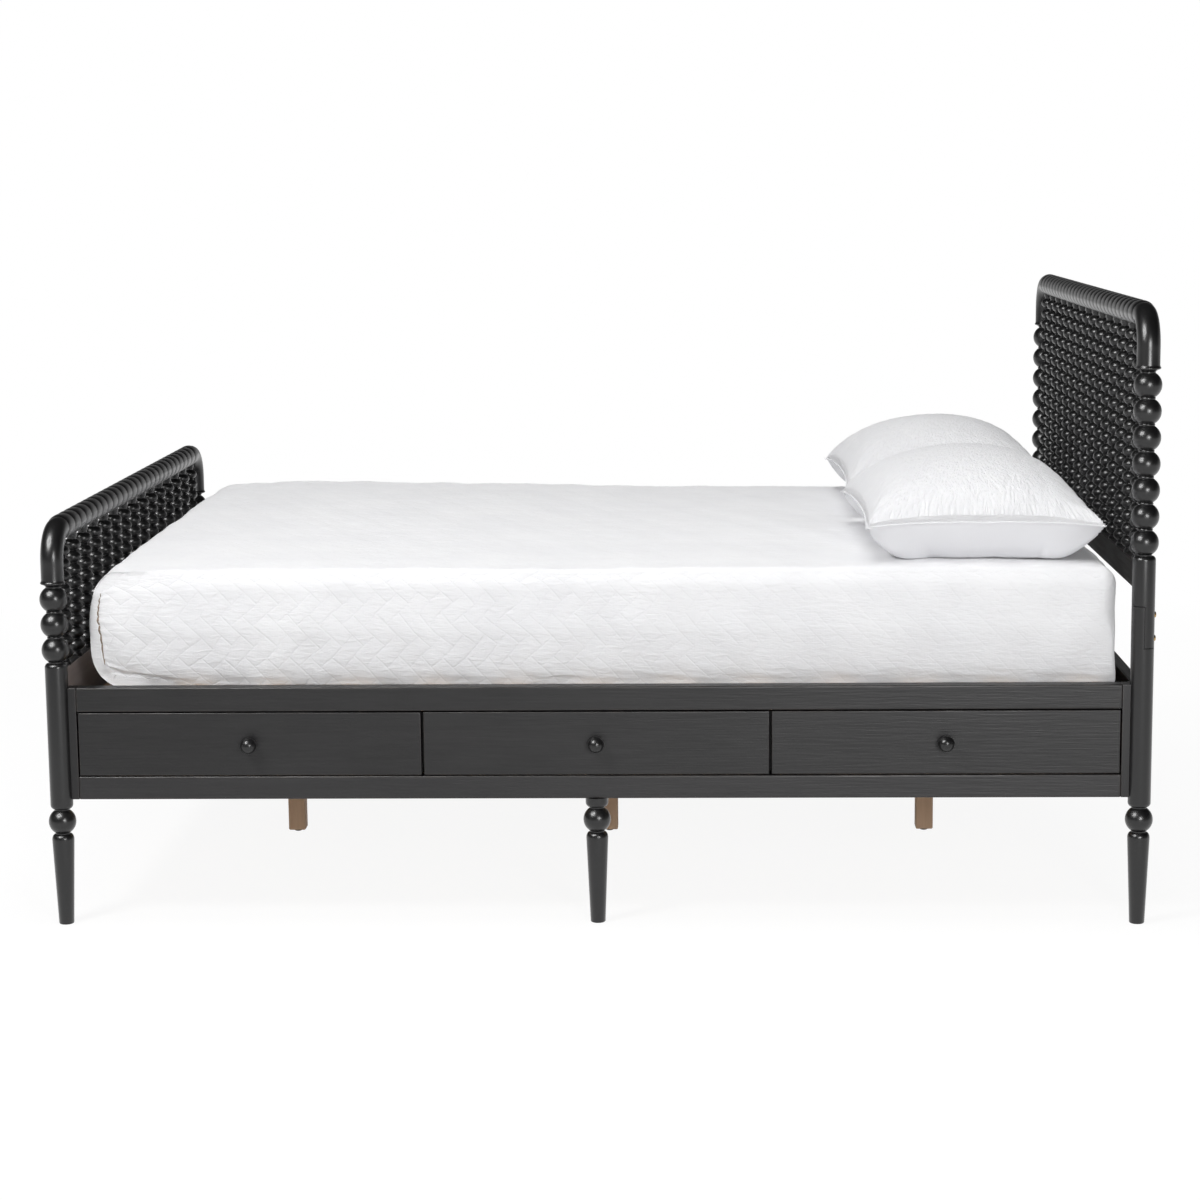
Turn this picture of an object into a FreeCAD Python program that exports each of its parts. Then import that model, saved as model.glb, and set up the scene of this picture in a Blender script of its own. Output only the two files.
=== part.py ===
import FreeCAD, Part
import math
import os
import re
import Sketcher
from FreeCAD import Placement, Rotation, Vector

# Platform bed with bobbin-turned ends and three drawers in its near side.
# X runs along the bed with the headboard at +X, the drawers are on the -Y side, the floor is z = 0.

NEAR, FAR = -1, 1
FOOT, HEAD = -1, 1
SIDES = {"near": NEAR, "far": FAR}
ENDS = {"foot": FOOT, "head": HEAD}

# Driving dimensions in millimetres. Names that end in count or flats are plain numbers.
SIZES = {
    # Plan of the frame, between the axes of the posts
    "post_spacing_length": 2000.0,
    "post_spacing_width": 1450.0,
    # Turned posts and legs
    "turning_flats": 10,
    "post_diameter": 42.0,
    "foot_tip_diameter": 28.0,
    "foot_top_diameter": 41.0,
    "foot_height": 169.0,
    "foot_shoulder": 4.0,
    "ball_diameter": 51.0,
    "ball_pitch": 47.65,
    "neck_diameter": 27.0,
    "leg_bevel": 5.0,
    "leg_block_height": 13.4,
    "post_bevel": 8.0,
    "foot_post_straight": 264.0,
    "head_post_straight": 454.0,
    "foot_ball_count": 3,
    "head_ball_count": 7,
    # Half-lap joint in the head posts
    "lap_gap": 24.6,
    "lap_length": 77.4,
    "lap_bolt_inset": 17.0,
    "lap_bolt_diameter": 6.0,
    "lap_bolt_length": 30.0,
    "lap_bolt_head_diameter": 12.0,
    "lap_bolt_head_height": 5.5,
    "lap_bolt_head_bevel": 1.5,
    "lap_bolt_sink": 3.0,
    "fastener_flats": 6,
    # Elbows and ring-turned top rails
    "elbow_diameter": 42.0,
    "elbow_rise": 101.0,
    "elbow_bend_radius": 57.0,
    "elbow_bend_count": 4,
    "elbow_tail": 3.0,
    "collar_diameter": 45.0,
    "collar_flare": 5.0,
    "collar_band": 3.0,
    "collar_return": 2.0,
    "top_rail_diameter": 47.0,
    "top_rail_groove_diameter": 42.0,
    "top_rail_ring_count": 28,
    # Bobbin spindles
    "spindle_flats": 5,
    "spindle_count": 15,
    "spindle_end_gap": 70.5,
    "bead_diameter": 34.0,
    "bead_pitch": 24.2,
    "bead_neck_diameter": 17.0,
    "spindle_neck_length": 6.0,
    "tenon_depth": 15.0,
    # Boards across the ends
    "end_board_thickness": 22.0,
    "board_drop": 7.0,
    "head_board_drop": 6.5,
    "end_mortise_depth": 12.0,
    "panel_rail_height": 52.0,
    # Side rails, and the face frame round the drawers
    "side_rail_height": 211.0,
    "side_rail_thickness": 30.0,
    "side_rail_setback": 10.0,
    "mortise_wall": 2.0,
    "face_top_height": 45.0,
    "face_bottom_height": 43.0,
    "face_stile_width": 22.0,
    # Slats and what carries them
    "slat_recess": 12.0,
    "slat_thickness": 18.0,
    "slat_width": 70.0,
    "slat_count": 13,
    "slat_bracket_gap": 9.0,
    "slat_end_gap": 2.0,
    "cleat_width": 25.0,
    "cleat_height": 22.0,
    "cleat_bracket_gap": 15.0,
    "beam_width": 45.0,
    "beam_height": 70.0,
    "centre_leg_width": 36.0,
    "centre_leg_spacing": 667.0,
    "glide_diameter": 18.0,
    "glide_height": 5.0,
    # Steel corner brackets and their bolts
    "bracket_leg": 45.0,
    "bracket_thickness": 3.0,
    "bracket_height": 44.0,
    "bracket_drop": 8.0,
    "bracket_bolt_inset": 11.0,
    "bracket_bolt_diameter": 6.0,
    "bracket_bolt_depth": 16.0,
    "bracket_bolt_head_diameter": 11.0,
    "bracket_bolt_head_height": 4.0,
    # Drawers
    "drawer_front_thickness": 20.0,
    "drawer_gap": 5.0,
    "drawer_end_reveal": 2.5,
    "drawer_reveal": 2.5,
    "drawer_box_depth": 520.0,
    "drawer_box_headroom": 11.0,
    "drawer_box_lift": 10.0,
    "drawer_board_thickness": 12.0,
    "drawer_bottom_thickness": 5.0,
    "drawer_bottom_lift": 8.0,
    "drawer_groove_depth": 6.0,
    "divider_thickness": 16.0,
    "divider_lift": 13.0,
    # Drawer runners
    "runner_space": 12.5,
    "runner_lift": 24.0,
    "channel_thickness": 10.0,
    "channel_height": 24.0,
    "channel_groove_depth": 8.0,
    "channel_length": 480.0,
    "runner_bar_height": 12.0,
    "runner_bar_length": 500.0,
    "runner_tip_gap": 0.5,
    # Turned knobs
    "knob_diameter": 30.0,
    "knob_projection": 30.0,
    "knob_base_diameter": 17.0,
    "knob_neck_diameter": 12.0,
    "knob_spigot_diameter": 9.0,
    "knob_spigot_length": 14.0,
    # Mattress and pillows
    "mattress_height": 225.0,
    "mattress_head_gap": 29.0,
    "mattress_foot_gap": 39.0,
    "mattress_side_gap": 15.0,
    "mattress_corner_radius": 45.0,
    "mattress_corner_count": 4,
    "mattress_edge_roll": 30.0,
    "mattress_draw_in": 5.0,
    "mattress_crown": 6.0,
    "mattress_crown_inset": 220.0,
    "pillow_length": 445.0,
    "pillow_width": 600.0,
    "pillow_height": 184.0,
    "pillow_end_gap": 10.0,
    "pillow_gap": 60.0,
    "pillow_side_count": 6,
    # Fits
    "joint_clearance": 0.1,
    "running_clearance": 0.3,
    "soft_clearance": 0.3,
    "cut_overrun": 5.0,
}

# Profile of a turned ball: along its pitch, and how far it swells from the neck to its full radius.
BALL_SHARES = ((0.2, 0.7), (0.5, 1.0), (0.8, 0.7))
BEAD_SHARES = ((0.5, 1.0),)
# Profile of a knob above the drawer front: along its projection, and its radius from neck to full radius.
KNOB_SHARES = ((0.36, 0.0), (0.55, 1.0), (0.78, 1.0), (1.0, 0.3))
KNOB_BASE_SHARE = 0.08
# Pillow levels: along its height, size of the outline, and how far each side bows out for its length.
PILLOW_SHARES = (
    (0.0, 0.58, 0.06),
    (0.14, 0.84, 0.02),
    (0.4, 1.0, -0.05),
    (0.52, 0.92, -0.02),
    (0.74, 0.76, 0.03),
    (0.92, 0.5, 0.07),
    (1.0, 0.22, 0.1),
)

doc = FreeCAD.newDocument("platform_bed")
sheet = doc.addObject("Spreadsheet::Sheet", "sizes")
for row, (alias, value) in enumerate(SIZES.items(), start=1):
    sheet.set(f"A{row}", alias.replace("_", " "))
    sheet.set(f"B{row}", str(value))
    sheet.setAlias(f"B{row}", alias)
doc.recompute()

pieces = {}


def bound(text):
    """An expression on the sheet for a sum of size names."""
    return re.sub(r"[a-z]\w*", r"sizes.\g<0>", text)


def size(text):
    """The value of a sum of size names."""
    return float(sheet.evalExpression(text))


def count(alias):
    return int(size(alias))


def keep(label, piece):
    """Names a finished piece, which becomes a file of its own."""
    piece.Label = label
    pieces[label] = piece
    return piece


def place(piece, x, y, z):
    """Binds the base of a piece's placement to the sheet."""
    for axis, text in zip("xyz", (x, y, z)):
        piece.setExpression(f"Placement.Base.{axis}", bound(text))


def block(name, length, width, height, x, y, z):
    """A rectangular board from its three sizes, the middle of its plan and the height of its underside."""
    board = doc.addObject("Part::Box", name)
    for side, text in (("Length", length), ("Width", width), ("Height", height)):
        board.setExpression(side, bound(text))
    place(board, f"({x}) - ({length}) / 2", f"({y}) - ({width}) / 2", z)
    return board


def drill(name, flats, diameter, depth, x, y, z, turn):
    """A hole's cutter that starts at a point and runs the way the turn takes +Z."""
    tool = doc.addObject("Part::Prism", name)
    tool.Placement.Rotation = turn
    tool.setExpression("Polygon", bound(flats))
    tool.setExpression("Circumradius", bound(f"({diameter}) / 2 + joint_clearance"))
    tool.setExpression("Height", bound(depth))
    place(tool, x, y, z)
    return tool


def cut(name, blank, tools):
    """A blank less its cutters."""
    cutters = doc.addObject("Part::Compound", name + "_cutters")
    cutters.Links = tools
    result = doc.addObject("Part::Cut", name)
    result.Base = blank
    result.Tool = cutters
    return result


def group(name, members):
    """Like pieces that share one name."""
    result = doc.addObject("Part::Compound", name)
    result.Links = members
    return result


def formed(name, shape):
    """An object for a shape that is worked out from the sheet here."""
    result = doc.addObject("Part::Feature", name)
    result.Shape = shape
    return result


def bar(name, corners, length, turn):
    """A bar padded from an outline whose corners are sums of size names."""
    body = doc.addObject("PartDesign::Body", name)
    outline = body.newObject("Sketcher::SketchObject", name + "_outline")
    plane = next(p for p in body.Origin.OriginFeatures if p.Role == "XY_Plane")
    outline.AttachmentSupport = (plane, [""])
    outline.MapMode = "FlatFace"
    points = [Vector(size(x), size(y), 0) for x, y in corners]
    total = len(points)
    for k in range(total):
        outline.addGeometry(Part.LineSegment(points[k], points[(k + 1) % total]))
    for k, (x, y) in enumerate(corners):
        outline.addConstraint(Sketcher.Constraint("Coincident", k, 2, (k + 1) % total, 1))
        for kind, text in (("DistanceX", x), ("DistanceY", y)):
            index = outline.addConstraint(Sketcher.Constraint(kind, -1, 1, k, 1, size(text)))
            outline.setExpression(f"Constraints[{index}]", bound(text))
    pad = body.newObject("PartDesign::Pad", name + "_pad")
    pad.Profile = outline
    pad.setExpression("Length", bound(length))
    body.Placement.Rotation = turn
    return body


def faceted(rings, soft=False):
    """A closed solid of flat faces through rings of corners, with a flat cap at each end.

    The sides of a soft form twist between its rings, so each of them is two triangles.
    """
    flats = len(rings[0])
    loops = [rings[0][::-1], rings[-1]]
    for low, high in zip(rings, rings[1:]):
        for k in range(flats):
            after = (k + 1) % flats
            if soft:
                loops += [[low[k], low[after], high[after]], [low[k], high[after], high[k]]]
            else:
                loops.append([low[k], low[after], high[after], high[k]])
    faces = [Part.Face(Part.makePolygon(loop + loop[:1])) for loop in loops]
    return Part.makeSolid(Part.makeShell(faces))


def ring(flats, radius):
    """Corners of a regular polygon about the Z axis."""
    turns = [2 * math.pi * k / flats for k in range(flats)]
    return [Vector(radius * math.cos(a), radius * math.sin(a), 0) for a in turns]


def turning(flats, stations):
    """A turned form along Z from its radii and heights."""
    return faceted([[corner + Vector(0, 0, z) for corner in ring(flats, radius)] for radius, z in stations])


def swells(start, pitch, total, neck, full, shares):
    """Stations of a row of turned balls or beads, from the end of the first neck to the last one."""
    stations = []
    for k in range(total):
        for along, swell in shares:
            stations.append((neck + (full - neck) * swell, start + (k + along) * pitch))
        stations.append((neck, start + (k + 1) * pitch))
    return stations


ALONG_X = Rotation(Vector(0, 1, 0), 90)
AGAINST_X = Rotation(Vector(0, 1, 0), -90)
ALONG_Y = Rotation(Vector(1, 0, 0), -90)
AGAINST_Y = Rotation(Vector(1, 0, 0), 90)
UPRIGHT = Rotation()
HALF_TURN = Rotation(Vector(0, 0, 1), 180)

# Heights and depths that several pieces share
LEG_TOP = "(foot_height + foot_shoulder + ball_pitch + leg_bevel)"
RAIL_BOTTOM = f"({LEG_TOP} + leg_block_height)"
RAIL_TOP = f"({RAIL_BOTTOM} + side_rail_height)"
STRAIGHT_TOP = {end: f"({LEG_TOP} + {end}_post_straight)" for end in ENDS}
BOARD_TOP = {end: f"({STRAIGHT_TOP[end]} - board_drop)" for end in ENDS}
POST_TOP = {end: f"({STRAIGHT_TOP[end]} + post_bevel + {end}_ball_count * ball_pitch)" for end in ENDS}
TOP_RAIL_AXIS = {end: f"({POST_TOP[end]} + elbow_rise)" for end in ENDS}
SLAT_TOP = f"({RAIL_TOP} - slat_recess)"
SLAT_BOTTOM = f"({SLAT_TOP} - slat_thickness)"
CLEAT_BOTTOM = f"({SLAT_BOTTOM} - cleat_height)"
BEAM_BOTTOM = f"({SLAT_BOTTOM} - beam_height)"
PANEL_RAIL_BOTTOM = f"({BOARD_TOP['head']} - panel_rail_height)"
LAP_TOP = f"({PANEL_RAIL_BOTTOM} - lap_gap)"
LAP_BOTTOM = f"({LAP_TOP} - lap_length)"
END_AXIS = "(post_spacing_length / 2)"
SIDE_AXIS = "(post_spacing_width / 2)"
END_BOARD_INSIDE = f"({END_AXIS} - end_board_thickness / 2)"
SIDE_RAIL_MIDDLE = f"({SIDE_AXIS} - side_rail_setback)"
SIDE_RAIL_INSIDE = f"({SIDE_RAIL_MIDDLE} - side_rail_thickness / 2)"
SIDE_RAIL_OUTSIDE = f"({SIDE_RAIL_MIDDLE} + side_rail_thickness / 2)"
SIDE_RAIL_REACH = f"({END_BOARD_INSIDE} - mortise_wall)"
ELBOW_REACH = "(elbow_bend_radius + elbow_tail)"


def leg_stations():
    """Tapered foot, ball and the bevel up to the straight part."""
    neck = size("neck_diameter / 2")
    shoulder = size("foot_height + foot_shoulder")
    stations = [
        (size("foot_tip_diameter / 2"), 0),
        (size("foot_top_diameter / 2"), size("foot_height")),
        (neck, shoulder),
    ]
    stations += swells(shoulder, size("ball_pitch"), 1, neck, size("ball_diameter / 2"), BALL_SHARES)
    return stations + [(size("post_diameter / 2"), size(LEG_TOP))]


def ball_stations(end):
    """End of the straight part and the row of balls above it."""
    neck = size("neck_diameter / 2")
    start = size(f"{STRAIGHT_TOP[end]} + post_bevel")
    stations = [(size("post_diameter / 2"), size(STRAIGHT_TOP[end])), (neck, start)]
    total = count(f"{end}_ball_count")
    return stations + swells(start, size("ball_pitch"), total, neck, size("ball_diameter / 2"), BALL_SHARES)


def turned_at(name, stations, x, y):
    """A turned piece that stands on an axis of the frame."""
    piece = formed(name, turning(count("turning_flats"), stations))
    place(piece, x, y, "0")
    return piece


# Cutters that several pieces share: the room for each board and side rail, a clearance larger than the piece
def room(name, length, width, height, x, y, z):
    sizes = [f"({text}) + 2 * joint_clearance" for text in (length, width, height)]
    return block(name, *sizes, x, y, f"({z}) - joint_clearance")


BOARD_LENGTH = "(post_spacing_width - post_diameter + 2 * end_mortise_depth)"
END_BOARD_HEIGHT = {
    "foot": f"({BOARD_TOP['foot']} - {RAIL_BOTTOM})",
    "head": "(side_rail_height - head_board_drop)",
}
END_BOARD = {end: ("end_board_thickness", BOARD_LENGTH, END_BOARD_HEIGHT[end]) for end in ENDS}
PANEL_RAIL = ("end_board_thickness", BOARD_LENGTH, "panel_rail_height")
SIDE_RAIL = (f"2 * {SIDE_RAIL_REACH}", "side_rail_thickness", "side_rail_height")

end_board_rooms = {
    end: room(f"{end}_end_board_room", *END_BOARD[end], f"{sign} * {END_AXIS}", "0", RAIL_BOTTOM)
    for end, sign in ENDS.items()
}
side_rail_rooms = {
    side: room(f"{side}_side_rail_room", *SIDE_RAIL, "0", f"{sign} * {SIDE_RAIL_MIDDLE}", RAIL_BOTTOM)
    for side, sign in SIDES.items()
}
panel_rail_room = room("panel_rail_room", *PANEL_RAIL, END_AXIS, "0", PANEL_RAIL_BOTTOM)


# Footboard posts, each turned in one piece and mortised for the end board and the side rail
for side, sign in SIDES.items():
    name = f"footboard_post_{side}"
    blank = turned_at(
        name + "_blank", leg_stations() + ball_stations("foot"), f"-{END_AXIS}", f"{sign} * {SIDE_AXIS}"
    )
    keep(name, cut(name, blank, [end_board_rooms["foot"], side_rail_rooms[side]]))


# Headboard posts, in two pieces half-lapped together behind the mattress and bolted from the back
LAP_BOLT_SEAT = f"({END_AXIS} + post_diameter / 2 - lap_bolt_sink)"
LAP_BOLT_HEIGHTS = (f"{LAP_BOTTOM} + lap_bolt_inset", f"{LAP_TOP} - lap_bolt_inset")
lap_bolts = []
for side, sign in SIDES.items():
    post_y = f"{sign} * {SIDE_AXIS}"
    head_rooms = [end_board_rooms["head"], side_rail_rooms[side], panel_rail_room]
    holes = []
    for k, height in enumerate(LAP_BOLT_HEIGHTS):
        holes.append(
            drill(
                f"lap_hole_{side}_{k}",
                "fastener_flats",
                "lap_bolt_diameter",
                "lap_bolt_length + joint_clearance",
                LAP_BOLT_SEAT,
                post_y,
                height,
                AGAINST_X,
            )
        )
        holes.append(
            drill(
                f"lap_sink_{side}_{k}",
                "fastener_flats",
                "lap_bolt_head_diameter",
                "lap_bolt_sink + cut_overrun",
                LAP_BOLT_SEAT,
                post_y,
                height,
                ALONG_X,
            )
        )
        shank, head = size("lap_bolt_diameter / 2"), size("lap_bolt_head_diameter / 2")
        length, bevel = size("lap_bolt_length"), size("lap_bolt_head_bevel")
        top = length + size("lap_bolt_head_height")
        stations = [(shank, 0), (shank, length), (head, length), (head, top - bevel), (head - bevel, top)]
        bolt = formed(f"lap_bolt_{side}_{k}", turning(count("fastener_flats"), stations))
        bolt.Placement.Rotation = ALONG_X
        place(bolt, f"{LAP_BOLT_SEAT} - lap_bolt_length", post_y, height)
        lap_bolts.append(bolt)

    name = f"headboard_post_base_{side}"
    straight = (size("post_diameter / 2"), size(LAP_TOP))
    blank = turned_at(name + "_blank", leg_stations() + [straight], END_AXIS, post_y)
    back_half = block(
        name + "_lap",
        "post_diameter",
        "2 * post_diameter",
        "lap_length + cut_overrun",
        f"{END_AXIS} + post_diameter / 2",
        post_y,
        LAP_BOTTOM,
    )
    keep(name, cut(name, blank, [*head_rooms, back_half, *holes]))

    name = f"headboard_post_top_{side}"
    straight = (size("post_diameter / 2"), size(LAP_BOTTOM))
    blank = turned_at(name + "_blank", [straight] + ball_stations("head"), END_AXIS, post_y)
    front_half = block(
        name + "_lap",
        "post_diameter",
        "2 * post_diameter",
        "lap_length + cut_overrun",
        f"{END_AXIS} - post_diameter / 2",
        post_y,
        f"{LAP_BOTTOM} - cut_overrun",
    )
    keep(name, cut(name, blank, [*head_rooms, front_half, *holes]))
keep("headboard_lap_bolts", group("headboard_lap_bolts", lap_bolts))


# Elbows: a flared collar on the last ball, then a quarter bend into the top rail
def elbow_rings():
    flats, tube = count("turning_flats"), size("elbow_diameter / 2")
    bend, bend_start = size("elbow_bend_radius"), size("elbow_rise - elbow_bend_radius")
    collar = size("collar_diameter / 2")
    flare = size("collar_flare")
    band = flare + size("collar_band")
    stations = [(size("neck_diameter / 2"), 0), (collar, flare), (collar, band)]
    stations.append((tube, band + size("collar_return")))
    rings = [[corner + Vector(0, 0, z) for corner in ring(flats, radius)] for radius, z in stations]
    steps = count("elbow_bend_count")
    for k in range(steps + 1):
        angle = math.pi / 2 * k / steps
        turn = Rotation(Vector(1, 0, 0), -math.degrees(angle))
        middle = Vector(0, bend * (1 - math.cos(angle)), bend_start + bend * math.sin(angle))
        rings.append([turn.multVec(corner) + middle for corner in ring(flats, tube)])
    tail = Vector(0, size("elbow_tail"), 0)
    rings.append([corner + tail for corner in rings[-1]])
    return rings


for end, end_sign in ENDS.items():
    for side, sign in SIDES.items():
        name = f"{end}board_elbow_{side}"
        elbow = formed(name, faceted(elbow_rings()))
        elbow.Placement.Rotation = UPRIGHT if side == "near" else HALF_TURN
        place(elbow, f"{end_sign} * {END_AXIS}", f"{sign} * {SIDE_AXIS}", POST_TOP[end])
        keep(name, elbow)


# Spindles: a row of beads with a tenon at each end, held by the board below and the top rail
SPINDLE_PITCH = "(post_spacing_width - 2 * spindle_end_gap) / (spindle_count - 1)"


def spindle_row(end, solid):
    """Copies of one upright form at the places of the spindles."""
    x, pitch = size(f"{ENDS[end]} * {END_AXIS}"), size(SPINDLE_PITCH)
    first = size(f"spindle_end_gap - {SIDE_AXIS}")
    places = [Vector(x, first + k * pitch, 0) for k in range(count("spindle_count"))]
    return Part.makeCompound([solid.translated(spot) for spot in places])


spindle_rooms = {}
for end in ENDS:
    neck, bead, pitch = size("bead_neck_diameter / 2"), size("bead_diameter / 2"), size("bead_pitch")
    flats = count("spindle_flats")
    low, high = size(BOARD_TOP[end]), size(f"{TOP_RAIL_AXIS[end]} - top_rail_diameter / 2")
    tenon_low, tenon_high = low - size("tenon_depth"), high + size("tenon_depth")
    total = int((high - low - size("2 * spindle_neck_length")) / pitch)
    first = (low + high - total * pitch) / 2
    stations = [(neck, tenon_low), (neck, first)] + swells(first, pitch, total, neck, bead, BEAD_SHARES)
    stations.append((neck, tenon_high))
    name = f"{end}board_spindles"
    keep(name, formed(name, spindle_row(end, turning(flats, stations))))
    clearance = size("joint_clearance")
    bore = neck + clearance
    hole = turning(flats, [(bore, tenon_low - clearance), (bore, tenon_high + clearance)])
    spindle_rooms[end] = formed(f"{end}_spindle_rooms", spindle_row(end, hole))


# Top rails: turned rings between the elbows, bored from below for the spindles
TOP_RAIL_LENGTH = f"(post_spacing_width - 2 * {ELBOW_REACH})"
for end, sign in ENDS.items():
    rings_total = count("top_rail_ring_count")
    pitch = size(TOP_RAIL_LENGTH) / rings_total
    groove, crest = size("top_rail_groove_diameter / 2"), size("top_rail_diameter / 2")
    stations = [(groove, 0)] + swells(0, pitch, rings_total, groove, crest, BEAD_SHARES)
    name = f"{end}board_top_rail"
    blank = formed(name + "_blank", turning(count("turning_flats"), stations))
    blank.Placement.Rotation = ALONG_Y
    place(blank, f"{sign} * {END_AXIS}", f"-{TOP_RAIL_LENGTH} / 2", TOP_RAIL_AXIS[end])
    keep(name, cut(name, blank, [spindle_rooms[end]]))


# Corner brackets: a steel angle inside each corner, with a bolt into the side rail and one into the end board
BRACKET_BOTTOM = f"({RAIL_TOP} - bracket_drop - bracket_height)"
BRACKET_BOLT_HEIGHT = f"({BRACKET_BOTTOM} + bracket_height / 2)"
BRACKET_BOLT_REACH = "(bracket_leg - bracket_bolt_inset)"
BOLT_HOLE_DEPTH = "bracket_thickness + bracket_bolt_depth + joint_clearance"
INTO_SIDE = {"near": AGAINST_Y, "far": ALONG_Y}
INTO_END = {"foot": AGAINST_X, "head": ALONG_X}
ANGLE_CORNERS = (
    ("0", "0"),
    ("bracket_leg", "0"),
    ("bracket_leg", "bracket_thickness"),
    ("bracket_thickness", "bracket_thickness"),
    ("bracket_thickness", "bracket_leg"),
    ("0", "bracket_leg"),
)
ANGLE_TURNS = {("foot", "near"): 0, ("head", "near"): 90, ("head", "far"): 180, ("foot", "far"): 270}


def bracket_bolt(name, x, y, turn):
    """A pan-head bolt that starts at the face of the bracket and runs the way of the turn."""
    shank, head = size("bracket_bolt_diameter / 2"), size("bracket_bolt_head_diameter / 2")
    tip = size("bracket_thickness + bracket_bolt_depth")
    stations = [(head, -size("bracket_bolt_head_height")), (head, 0), (shank, 0), (shank, tip)]
    bolt = formed(name, turning(count("fastener_flats"), stations))
    bolt.Placement.Rotation = turn
    place(bolt, x, y, BRACKET_BOLT_HEIGHT)
    return bolt


side_holes = {side: [] for side in SIDES}
end_holes = {end: [] for end in ENDS}
brackets, bracket_bolts = [], []
for (end, side), degrees in ANGLE_TURNS.items():
    end_sign, side_sign = ENDS[end], SIDES[side]
    name = f"corner_bracket_{end}_{side}"
    corner_x, corner_y = f"{end_sign} * {END_BOARD_INSIDE}", f"{side_sign} * {SIDE_RAIL_INSIDE}"
    angle = bar(name + "_angle", ANGLE_CORNERS, "bracket_height", Rotation(Vector(0, 0, 1), degrees))
    place(angle, corner_x, corner_y, BRACKET_BOTTOM)
    bolts = (
        (
            "side",
            f"{corner_x} - {end_sign} * {BRACKET_BOLT_REACH}",
            f"{corner_y} - {side_sign} * bracket_thickness",
            INTO_SIDE[side],
        ),
        (
            "end",
            f"{corner_x} - {end_sign} * bracket_thickness",
            f"{corner_y} - {side_sign} * {BRACKET_BOLT_REACH}",
            INTO_END[end],
        ),
    )
    holes = []
    for way, x, y, turn in bolts:
        hole_name = f"{name}_{way}_hole"
        holes.append(
            drill(
                hole_name,
                "fastener_flats",
                "bracket_bolt_diameter",
                BOLT_HOLE_DEPTH,
                x,
                y,
                BRACKET_BOLT_HEIGHT,
                turn,
            )
        )
        bracket_bolts.append(bracket_bolt(f"{name}_{way}_bolt", x, y, turn))
    side_holes[side].append(holes[0])
    end_holes[end].append(holes[1])
    brackets.append(cut(name, angle, holes))
keep("corner_brackets", group("corner_brackets", brackets))
keep("corner_bracket_bolts", group("corner_bracket_bolts", bracket_bolts))


# Boards across the ends, mortised into the posts, and the headboard's panel rail under its spindles
foot_board = block("foot_end_board_blank", *END_BOARD["foot"], f"-{END_AXIS}", "0", RAIL_BOTTOM)
keep("foot_end_board", cut("foot_end_board", foot_board, [spindle_rooms["foot"]] + end_holes["foot"]))
head_board = block("head_end_board_blank", *END_BOARD["head"], END_AXIS, "0", RAIL_BOTTOM)
keep("head_end_board", cut("head_end_board", head_board, end_holes["head"]))
panel_rail = block("headboard_panel_rail_blank", *PANEL_RAIL, END_AXIS, "0", PANEL_RAIL_BOTTOM)
keep("headboard_panel_rail", cut("headboard_panel_rail", panel_rail, [spindle_rooms["head"]]))


# Side rails: a plain board on the far side, and a face frame round three drawers on the near side
far_rail = block("far_side_rail_blank", *SIDE_RAIL, "0", SIDE_RAIL_MIDDLE, RAIL_BOTTOM)
keep("far_side_rail", cut("far_side_rail", far_rail, side_holes["far"]))

DRAWERS = {"foot": -1, "middle": 0, "head": 1}
OPENING_REACH = f"({SIDE_RAIL_REACH} - face_stile_width)"
DRAWER_PITCH = f"((2 * ({OPENING_REACH} - drawer_end_reveal) + drawer_gap) / {len(DRAWERS)})"
DRAWER_FRONT_WIDTH = f"({DRAWER_PITCH} - drawer_gap)"
OPENING_BOTTOM = f"({RAIL_BOTTOM} + face_bottom_height)"
OPENING_HEIGHT = "(side_rail_height - face_top_height - face_bottom_height)"
FACE_LENGTH = f"2 * {OPENING_REACH}"
NEAR_MIDDLE = f"-{SIDE_RAIL_MIDDLE}"
top_rail = block(
    "near_top_rail_blank",
    FACE_LENGTH,
    "side_rail_thickness",
    "face_top_height",
    "0",
    NEAR_MIDDLE,
    f"{OPENING_BOTTOM} + {OPENING_HEIGHT}",
)
keep("near_top_rail", cut("near_top_rail", top_rail, side_holes["near"]))
keep(
    "near_bottom_rail",
    block(
        "near_bottom_rail",
        FACE_LENGTH,
        "side_rail_thickness",
        "face_bottom_height",
        "0",
        NEAR_MIDDLE,
        RAIL_BOTTOM,
    ),
)
for end, sign in ENDS.items():
    name = f"near_stile_{end}"
    stile = block(
        name + "_blank",
        "face_stile_width",
        "side_rail_thickness",
        "side_rail_height",
        f"{sign} * ({OPENING_REACH} + face_stile_width / 2)",
        NEAR_MIDDLE,
        RAIL_BOTTOM,
    )
    keep(name, cut(name, stile, side_holes["near"]))

# Middle legs, turned like the corner legs, with a short block under the rail
for side, sign in SIDES.items():
    name = f"{side}_middle_leg"
    block_top = (size("post_diameter / 2"), size(RAIL_BOTTOM))
    keep(name, turned_at(name, leg_stations() + [block_top], "0", f"{sign} * {SIDE_RAIL_MIDDLE}"))


# Slats on a cleat along each side rail and on a centre beam with three legs
BRACKET_REACH = f"({END_BOARD_INSIDE} - bracket_leg)"
CLEAT_LENGTH = f"2 * ({BRACKET_REACH} - cleat_bracket_gap)"
for side, sign in SIDES.items():
    cleat_y = f"{sign} * ({SIDE_RAIL_INSIDE} - cleat_width / 2)"
    name = f"{side}_slat_cleat"
    keep(name, block(name, CLEAT_LENGTH, "cleat_width", "cleat_height", "0", cleat_y, CLEAT_BOTTOM))

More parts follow.
